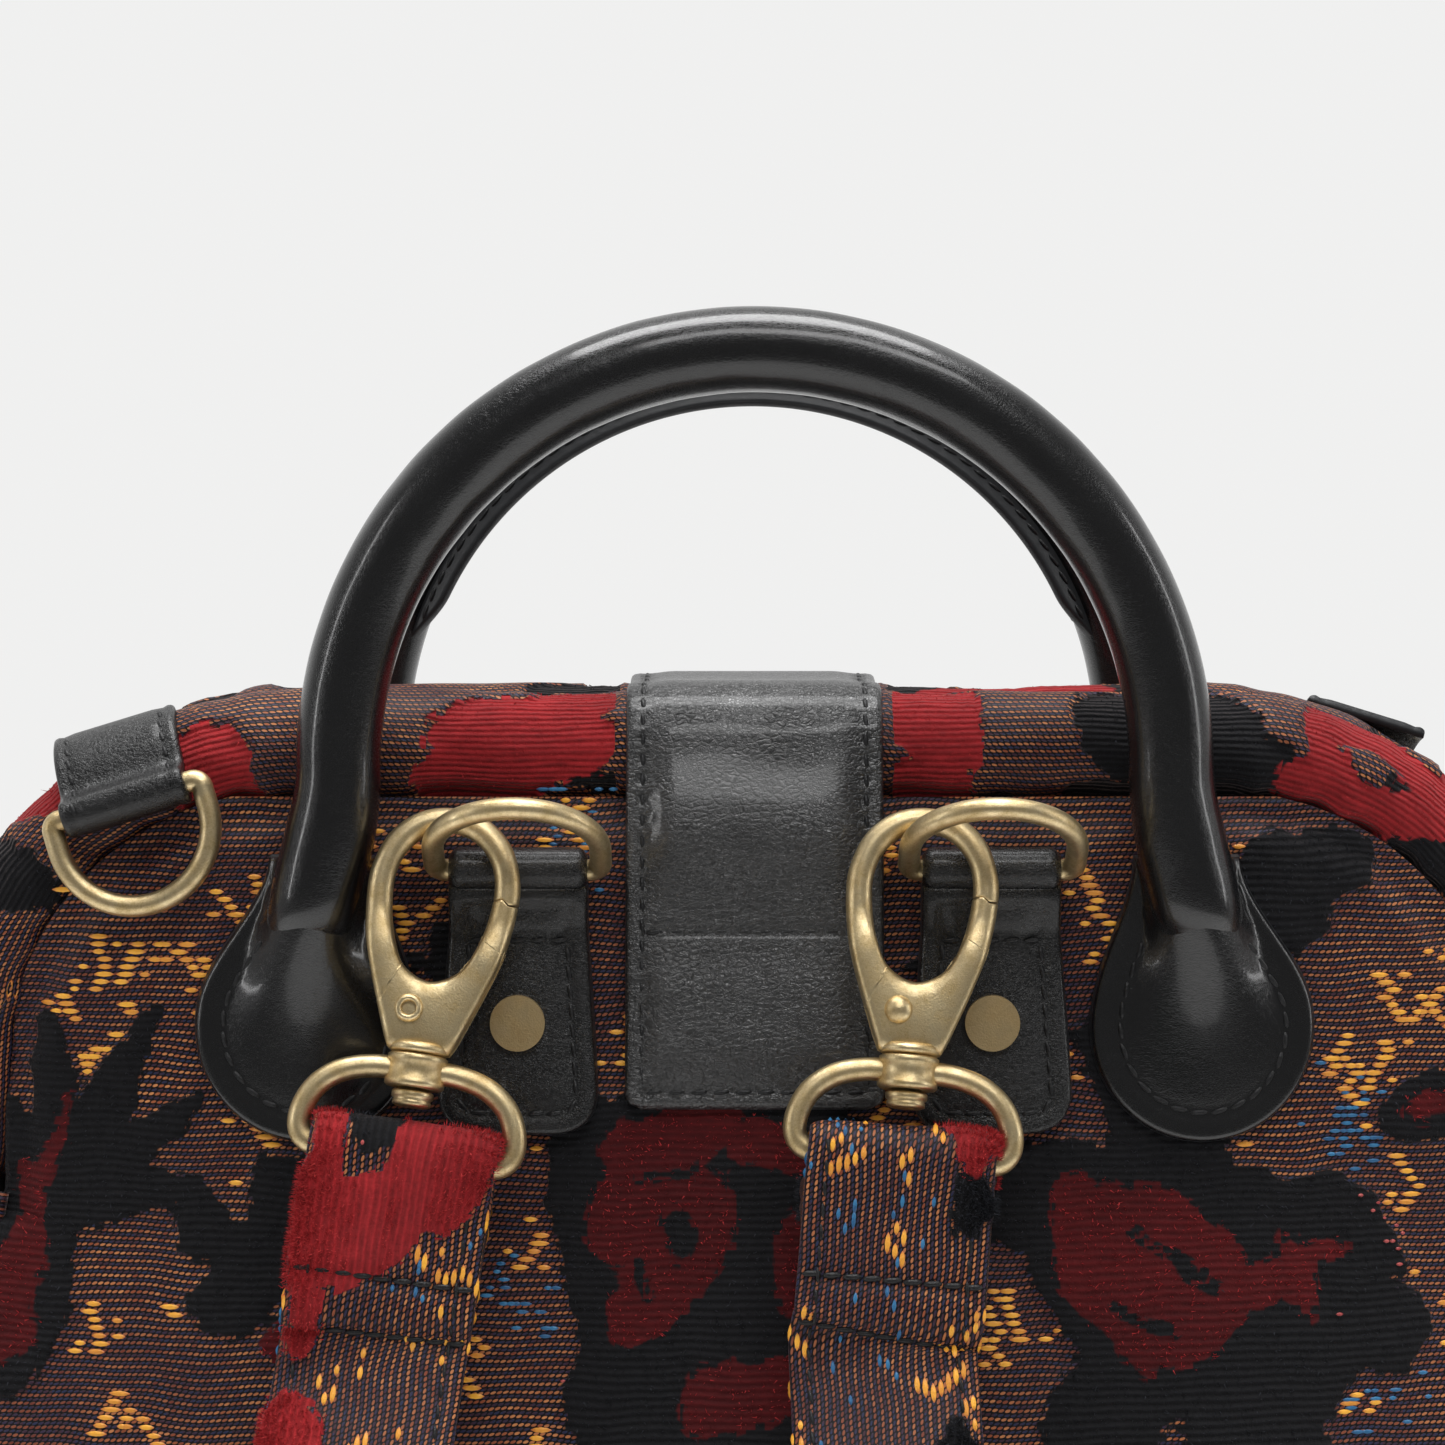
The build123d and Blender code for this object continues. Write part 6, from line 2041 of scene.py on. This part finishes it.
def flat_plate(mesh, outline, half_t, place):
    """A flat piece between two faces, with a small round edge."""
    pts = np.array(outline, float)
    middle = pts.mean(0)
    rows = []
    upper = ((0.0, 1.0), (0.9, 1.0), (0.97, 0.8), (1.0, 0.0))
    lower = ((0.97, -0.8), (0.9, -1.0), (0.0, -1.0))
    for f, n in ((f, half_t * level) for f, level in upper + lower):
        q = middle + (pts - middle) * f
        rows.append(place(q[:, 0], q[:, 1], np.full(len(q), n)))
    mesh.add(np.array(rows), grid_faces(len(rows), len(pts), True))


def snap_hook(name, side, roll):
    origin, across, up, out = hook_frame(side, roll)

    def place(a, v, n):
        a, v, n = np.broadcast_arrays(np.asarray(a, float), v, n)
        return origin + a[..., None] * across + v[..., None] * up + n[..., None] * out

    body = Mesh()
    hook_bar(body, np.linspace(GATE_SPLIT + 0.8, JAW_START + 2, 150), place, split_at=0)
    jaw_angles = np.linspace(JAW_START, JAW_END, 60)
    hook_bar(body, jaw_angles, place, plate=1)
    hook_bar(body, jaw_angles, place, plate=-1)
    lathe(
        body,
        [
            (0.1, -29.5), (4.7, -29.5), (5.3, -30.2), (5.3, -30.9), (4.8, -31.25), (2.6, -31.25),
            (2.6, -37.6), (3.3, -37.65), (3.6, -37.9), (3.6, -38.8), (3.1, -39.2), (3.3, -39.4),
            (3.3, -40.1), (2.6, -40.4), (0.1, -40.4),
        ],
        place,
    )
    obj = body.make(name + "_hook_brass", [brass], tidy=True)
    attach(obj, "bag")
    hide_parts(name + "_hook")

    pin = Mesh()
    t = np.linspace(0, 2 * math.pi, 32, endpoint=False)
    if side < 0:
        head = [
            (0.1, 1.6), (1.05, 1.6), (1.15, 3.4), (1.25, 4.0), (1.5, 4.35), (1.9, 4.35), (2.3, 4.0),
            (2.45, 3.2), (2.45, 3.0), (0.1, 3.0),
        ]
    else:
        head = [(0.1, 4.75), (0.8, 4.65), (1.5, 4.35), (2.05, 3.9), (2.4, 3.3), (2.4, 3.0), (0.1, 3.0)]
    pin.add(
        np.array([place(-2.6 + r * np.cos(t), -24.0 + r * np.sin(t), np.full(32, n)) for r, n in head]),
        grid_faces(len(head), 32, True),
    )
    back = [(0.1, -4.0), (1.8, -4.0), (2.2, -3.7), (2.2, -3.0), (1.2, -3.0), (1.2, 3.0), (0.1, 3.0)]
    pin.add(
        np.array([place(-2.6 + r * np.cos(t), -24.0 + r * np.sin(t), np.full(32, n)) for r, n in back]),
        grid_faces(len(back), 32, True),
    )
    obj = pin.make(name + "_gate_pin_brass", [brass], tidy=True)
    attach(obj, "bag")
    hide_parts(name + "_gate_pin")

    gate = Mesh()
    hook_bar(gate, np.linspace(GATE_SPLIT - 0.8, -31, 34), place, split_at=0)
    lug = closed_spline(
        [
            (7.6, -12.0), (11.0, -12.0), (9.8, -17.5), (5, -23.6), (-1.6, -26.8), (-5.2, -25.0),
            (-4.8, -22.3), (-2.2, -21.2), (1.5, -20.7), (5.4, -18.4),
        ],
        6,
    )
    flat_plate(gate, lug, 1.25, place)
    obj = gate.make(name + "_gate_brass", [brass], tidy=True)
    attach(obj, name + "_gate")
    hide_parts(name + "_gate")

    eye = Mesh()
    half = [
        (0, -34.3), (6.5, -34.2), (12.2, -35.6), (16.2, -38.6), (18.2, -42.6), (18.3, -46.2),
        (16.4, -48.4), (12.5, -48.8), (6, -48.8), (0, -48.8),
    ]
    loop = closed_spline(half + [(-a, v) for a, v in half[::-1] if a > 0], 8)
    tube(eye, place(loop[:, 0], loop[:, 1], np.zeros(len(loop))), 2.0, 20)
    lathe(
        eye,
        [
            (2.72, -31.45), (4.7, -31.45), (5.15, -31.8), (5.15, -32.7), (4.85, -33.0), (4.85, -35.7),
            (5.15, -36.0), (5.15, -36.8), (4.7, -37.2), (2.72, -37.2),
        ],
        place,
    )
    obj = eye.make(name + "_eye_brass", [brass], tidy=True)
    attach(obj, name + "_eye")
    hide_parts(name + "_eye")


STRAP_MOTIFS = {
    "left": [
        ("red", "e", (-6, -20, 11, 10, 10)),
        ("red", "e", (8, -6, 9, 14, -20)),
        ("black", "e", (-2, 2, 9, 9, 0)),
        ("red", "t", (-13, 10, 3, -13, -40, 3)),
        ("red", "e", (-12, -62, 7, 13, 0)),
        ("black", "e", (-13, -58, 3, 6, 0)),
        ("red", "e", (10, -118, 9, 14, 10)),
        ("black", "e", (-8, -150, 9, 12, 0)),
        ("red", "e", (-6, -150, 5, 6, 0)),
        ("black", "e", (11, -190, 8, 14, 0)),
        ("red", "e", (-11, -228, 7, 12, 0)),
        ("black", "e", (8, -262, 9, 11, 20)),
        ("red", "e", (-8, -286, 8, 9, 0)),
    ],
    "right": [
        ("red", "e", (13, 1, 6, 9, 0)),
        ("black", "e", (12, -12, 4, 7, 0)),
        ("black", "e", (-12, 12, 6, 7, 0)),
        ("black", "e", (12, -64, 5, 12, 0)),
        ("black", "e", (0, -92, 10, 12, 30)),
        ("red", "e", (2, -94, 6, 6, 0)),
        ("black", "e", (-12, -132, 6, 14, 0)),
        ("red", "e", (9, -160, 8, 12, 0)),
        ("black", "e", (-7, -204, 9, 10, 0)),
        ("red", "e", (-7, -206, 4, 5, 0)),
        ("black", "e", (10, -244, 7, 12, 0)),
        ("red", "e", (-9, -274, 8, 8, 0)),
    ],
}


def catmull(points, count):
    """A smooth line through points, with its first and last legs kept straight."""
    pts = np.array(points, float)
    pts = np.concatenate([[2 * pts[0] - pts[1]], pts, [2 * pts[-1] - pts[-2]]])
    out = []
    for i in range(1, len(pts) - 2):
        p0, p1, p2, p3 = pts[i - 1 : i + 3]
        for t in np.linspace(0, 1, count, endpoint=False):
            out.append(spline_point(p0, p1, p2, p3, t))
    out.append(pts[-2])
    return np.array(out)


def strap(name, side, roll, drift):
    origin, across, up, out = hook_frame(side, roll)
    eye_v, loop_r = -48.8, 1.9 + 0.25 + 3.8 - 0.2
    bar = origin + up * eye_v
    half_t = 1.9
    # the centre line of the strap: from inside the loop, over the eye, down the front, to the lower ring
    line, faces_out = [], []
    for v in np.linspace(-26.5, -7, 14):
        line.append(bar + up * v + out * -2.0)
        faces_out.append(-out)
    for a in np.radians(np.linspace(-150, 0, 18)):
        r = loop_r - half_t
        ang = math.radians(-180) + (a + math.radians(150)) * (180 / 150)
        line.append(bar + out * (-math.cos(ang + math.pi)) * -r * -1 + up * (math.sin(-ang)) * r)
        faces_out.append(unit(line[-1] - bar))
    for v in np.linspace(-7, -26.5, 14):
        line.append(bar + up * v + out * 2.1)
        faces_out.append(out)
    start = bar + up * -27.5 + out * 0.6
    tilt = math.radians(22)
    low_origin = np.array([side * 104.0, -(float(face_depth(104.0, 20.0)) + 4.45), 20.0])
    back = np.array([0, math.cos(tilt), math.sin(tilt)])
    end = low_origin - back * (15 + 24)
    run = [
        bar + up * -26.8 + out * 2.0,
        start + up * -9,
        (start[0] + drift[0] * (end[0] - start[0]), -84, 160),
        (start[0] + drift[1] * (end[0] - start[0]), -110, 110),
        (start[0] + drift[2] * (end[0] - start[0]), -130, 62),
        (start[0] + drift[3] * (end[0] - start[0]), -133, 26),
        end - back * 4,
        end + back * 10,
        low_origin - back * 19,
    ]
    body = catmull(run, 26)[1:]
    body_way = unit(np.gradient(body, axis=0))
    x_way = np.tile([1.0, 0, 0], (len(body), 1))
    body_out = unit(np.cross(body_way, x_way))
    if body_out[0] @ out < 0:
        body_out = -body_out
    # wind round the lower ring's bar
    low_bar = low_origin - back * 15
    wind = []
    low_out = body_out[-1]
    for a in np.radians(np.linspace(0, 180, 14)):
        wind.append(low_bar + low_out * math.cos(a) * 3.6 + back * math.sin(a) * 3.6)
    centre = np.concatenate([line, body, wind[1:]])
    outs = np.concatenate([faces_out, body_out, [unit(q - low_bar) for q in wind[1:]]])
    for _ in range(5):
        centre[1:-1] = 0.25 * centre[:-2] + 0.5 * centre[1:-1] + 0.25 * centre[2:]
        outs[1:-1] = unit(0.25 * outs[:-2] + 0.5 * outs[1:-1] + 0.25 * outs[2:])
    step = np.linalg.norm(np.diff(centre, axis=0), axis=1)
    keep = np.concatenate([[True], step > 0.02])
    centre, outs = centre[keep], outs[keep]
    along = np.concatenate([[0], np.cumsum(np.linalg.norm(np.diff(centre, axis=0), axis=1))])
    rows = int(along[-1] / 1.5)
    at = np.linspace(0, along[-1], rows)
    centre = np.stack([np.interp(at, along, centre[:, k]) for k in range(3)], axis=1)
    outs = unit(np.stack([np.interp(at, along, outs[:, k]) for k in range(3)], axis=1))
    way = unit(np.gradient(centre, axis=0))
    wide = unit(np.cross(outs, way))
    if wide[rows // 2][0] < 0:
        wide = -wide
    outs = unit(np.cross(way, wide))
    if outs[rows // 2] @ body_out[len(body) // 2] < 0:
        outs = -outs
    half = 16.0
    # flat oval section, as a closed tube
    cols = 76
    q = np.linspace(0, 2 * math.pi, cols, endpoint=False)
    cu = np.sign(np.cos(q)) * np.abs(np.cos(q)) ** 0.36
    cv = np.sign(np.sin(q)) * np.abs(np.sin(q)) ** 0.62
    top_at = at - at[int(np.argmin(np.linalg.norm(centre - (bar + up * 4), axis=1)))]
    puff = 0.5 * (noise2(q[None] * 3, at[:, None] / 9, 33) - 0.5)
    stitch_rows = (-27.5, -37.0)
    sewn = sum(np.exp(-(((-top_at[:, None] - s) / 1.1) ** 2)) for s in stitch_rows)
    wobble = 0.5 * (noise2(at / 11, 0 * at, 34) - 0.5)
    thick = half_t + 0.25 * puff - 0.9 * sewn * np.abs(cv)[None]
    x = cu[None] * (half + wobble[:, None] + 0.5 * puff)
    p = centre[:, None] + wide[:, None] * x[..., None] + outs[:, None] * (cv[None] * thick)[..., None]
    uu = np.where(cv[None] >= 0, x, x + 47)
    uv = np.stack([uu, -top_at[:, None] + 0 * x], axis=-1)
    black, red = pattern(uv[..., 0], uv[..., 1], STRAP_MOTIFS[name], None)
    flip = np.einsum("ij,ij->i", np.cross(wide, outs), way).mean() > 0
    floats = float_places(black, red, uv, 150, 34, 6, upright=True)
    hair = (at < 150)[:, None] * np.ones((1, cols))
    mesh = cloth_mesh(
        p,
        uv,
        black,
        red,
        0,
        floats,
        wrap=True,
        fibres=9000,
        where=hair,
        upright=True,
        flip=not flip,
        length=1.2,
        relief=0.75,
        # painted light: the pile of the strap is painted lighter than on the panels
        nap_tone_and_painted_light=1.0,
    )
    cap_ends(mesh, rows, cols)
    # sewing: rows across the loop, and one down each edge
    for s in stitch_rows:
        i = int(np.argmin(np.abs(-top_at - s)))
        xs = np.linspace(-15.3, 15.3, 18)
        line3 = centre[i] + wide[i] * xs[:, None] + outs[i] * (half_t - 0.45)
        add_stitches(mesh, line3, np.tile(outs[i], (18, 1)), pitch=3.4, length=3.2, radius=0.55, kind=6)
    for edge_x in (-12.6, 12.6):
        pick = (top_at > 4) & (top_at < top_at[-1] - 20)
        line3 = centre[pick] + wide[pick] * edge_x + outs[pick] * (half_t - 0.15)
        add_stitches(mesh, line3, outs[pick], pitch=3.6, length=2.6, radius=0.3, kind=6)
    obj = mesh.make(name + "_strap_cloth", CLOTH + [stitch])
    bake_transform(obj)
    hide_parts(name + "_strap_loop", name + "_shoulder_strap", name + "_strap_end")


# ---------------------------------------------------------------- build

back_panel()
front_panel()
gusset("left_gusset", -1)
gusset("right_gusset", 1)
pleat("left_gusset_pleat", -1)
pleat("right_gusset_pleat", 1)
mouth_roll("back_roll", False)
mouth_roll("front_roll", True)
handle("back_handle_cover", False)
handle("front_handle_cover", True)
for word, sign in (("left", -1), ("right", 1)):
    ring_tab(word + "_ring_tab", sign)
    lower_tab(word + "_lower_tab", sign)
closure()
side_tab("back_side_tab", False)
side_tab("front_side_tab", True)
base_cover()
lining_pieces()
snap_hook("left", -1, 8)
snap_hook("right", 1, 5)
strap("left", -1, 8, (0.16, 0.42, 0.7, 0.93))
strap("right", 1, 5, (0.04, 0.28, 0.62, 0.92))

# CAD nodes that stay, with their finish
for key, obj in nodes.items():
    if obj.hide_render:
        continue
    if any(word in key for word in ("hook", "gate", "eye", "_ring")) and "tab" not in key:
        finish = brass
    elif "rivets" in key and "tab" in key:
        finish = cap_brass
    elif "magnet" in key:
        finish = nickel
    elif "frame" in key:
        finish = steel
    elif "board" in key:
        finish = board
    else:
        finish = foam
    obj.data.materials.clear()
    obj.data.materials.append(finish)

# ---------------------------------------------------------------- room, light, camera

scene = bpy.context.scene
scene.view_settings.view_transform = "Standard"

floor_mesh = bpy.data.meshes.new("floor")
# a round sheet of paper: past its edge the dark of the studio shows in the leather, not more floor
PAPER_R = 0.64
rim = [(PAPER_R * math.cos(a), PAPER_R * math.sin(a), -0.0005) for a in np.radians(np.arange(0, 360, 3))]
floor_mesh.from_pydata(rim, [], [tuple(range(len(rim)))])
floor = bpy.data.objects.new("floor", floor_mesh)
scene.collection.objects.link(floor)
floor_look = Nodes("floor_paper")
grain = floor_look.noise(floor_look.place_mm(), 0.02, 2.0)
floor_look.finish(
    color=floor_look.mix(grain, (0.84, 0.84, 0.835), (0.87, 0.87, 0.865)), rough=0.9, specular=0.1
)
# far from the object the paper runs out into the pale background
reach = floor_look.put("ShaderNodeVectorMath", operation="LENGTH")
floor_look.tree.links.new(floor_look.put("ShaderNodeTexCoord").outputs["Object"], reach.inputs[0])
far = floor_look.math("MULTIPLY", floor_look.math("SUBTRACT", reach.outputs["Value"], 0.28), 3.0, clamp=True)
seen = floor_look.put("ShaderNodeLightPath").outputs["Is Camera Ray"]
glow = floor_look.put("ShaderNodeEmission")
glow.inputs["Color"].default_value = (0.871, 0.871, 0.866, 1)
blend_paper = floor_look.put("ShaderNodeMixShader")
floor_look.link(floor_look.math("MULTIPLY", far, seen), blend_paper.inputs[0])
floor_look.tree.links.new(floor_look.shader.outputs[0], blend_paper.inputs[1])
floor_look.tree.links.new(glow.outputs[0], blend_paper.inputs[2])
floor_look.tree.links.new(blend_paper.outputs[0], floor_look.tree.nodes["Material Output"].inputs[0])
floor_mesh.materials.append(floor_look.material)

world = bpy.data.worlds.new("studio")
scene.world = world
world.use_nodes = True
tree = world.node_tree
background = tree.nodes["Background"]
paths = tree.nodes.new("ShaderNodeLightPath")
where = tree.nodes.new("ShaderNodeTexCoord")
split = tree.nodes.new("ShaderNodeSeparateXYZ")
tree.links.new(where.outputs["Generated"], split.inputs[0])
ramp = tree.nodes.new("ShaderNodeMapRange")
tree.links.new(split.outputs["Y"], ramp.inputs["Value"])
for key, value in (("From Min", -0.2), ("From Max", 0.6), ("To Min", 0.14), ("To Max", 0.80)):
    ramp.inputs[key].default_value = value
pick_glossy = tree.nodes.new("ShaderNodeMix")
pick_glossy.data_type = "FLOAT"
tree.links.new(paths.outputs["Is Glossy Ray"], pick_glossy.inputs[0])
pick_glossy.inputs[2].default_value = 0.48
tree.links.new(ramp.outputs[0], pick_glossy.inputs[3])
pick_camera = tree.nodes.new("ShaderNodeMix")
pick_camera.data_type = "FLOAT"
tree.links.new(paths.outputs["Is Camera Ray"], pick_camera.inputs[0])
tree.links.new(pick_glossy.outputs[0], pick_camera.inputs[2])
pick_camera.inputs[3].default_value = 0.871
tree.links.new(pick_camera.outputs[0], background.inputs["Strength"])
background.inputs["Color"].default_value = (1, 1, 0.995, 1)


def area_light(name, place, aim, size, power, tint=(1, 1, 1)):
    data = bpy.data.lights.new(name, "AREA")
    data.shape = "RECTANGLE"
    data.size, data.size_y = size
    data.energy = power
    data.color = tint
    lamp = bpy.data.objects.new(name, data)
    lamp.location = place
    way = np.array(aim, float) - np.array(place, float)
    yaw = math.atan2(-way[0], way[1])
    pitch = math.atan2(math.hypot(way[0], way[1]), -way[2])
    lamp.rotation_euler = (pitch, 0, yaw)
    scene.collection.objects.link(lamp)
    return lamp


area_light("overhead", (0.0, 0.03, 1.36), (0, 0.03, 0.3), (1.0, 0.50), 14)
area_light("front_softbox", (0.16, -0.78, 1.25), (0, 0, 0.28), (0.9, 0.26), 4.6)
area_light("side_left", (-1.25, -0.50, 0.60), (0, 0, 0.28), (0.08, 0.9), 2.4)
area_light("side_right", (1.30, -0.25, 0.60), (0, 0, 0.28), (0.10, 0.9), 2.4)

cam_data = bpy.data.cameras.new("camera")
cam_data.sensor_fit = "HORIZONTAL"
cam_data.sensor_width = 36.0
cam_data.lens = 36.0 * 4060 / 1445
cam = bpy.data.objects.new("camera", cam_data)
cam.location = (-0.0056, -0.733, 0.350)
cam.rotation_euler = (math.radians(90 - 3.7), 0, 0)
cam_data.clip_start = 0.01
scene.collection.objects.link(cam)
scene.camera = cam
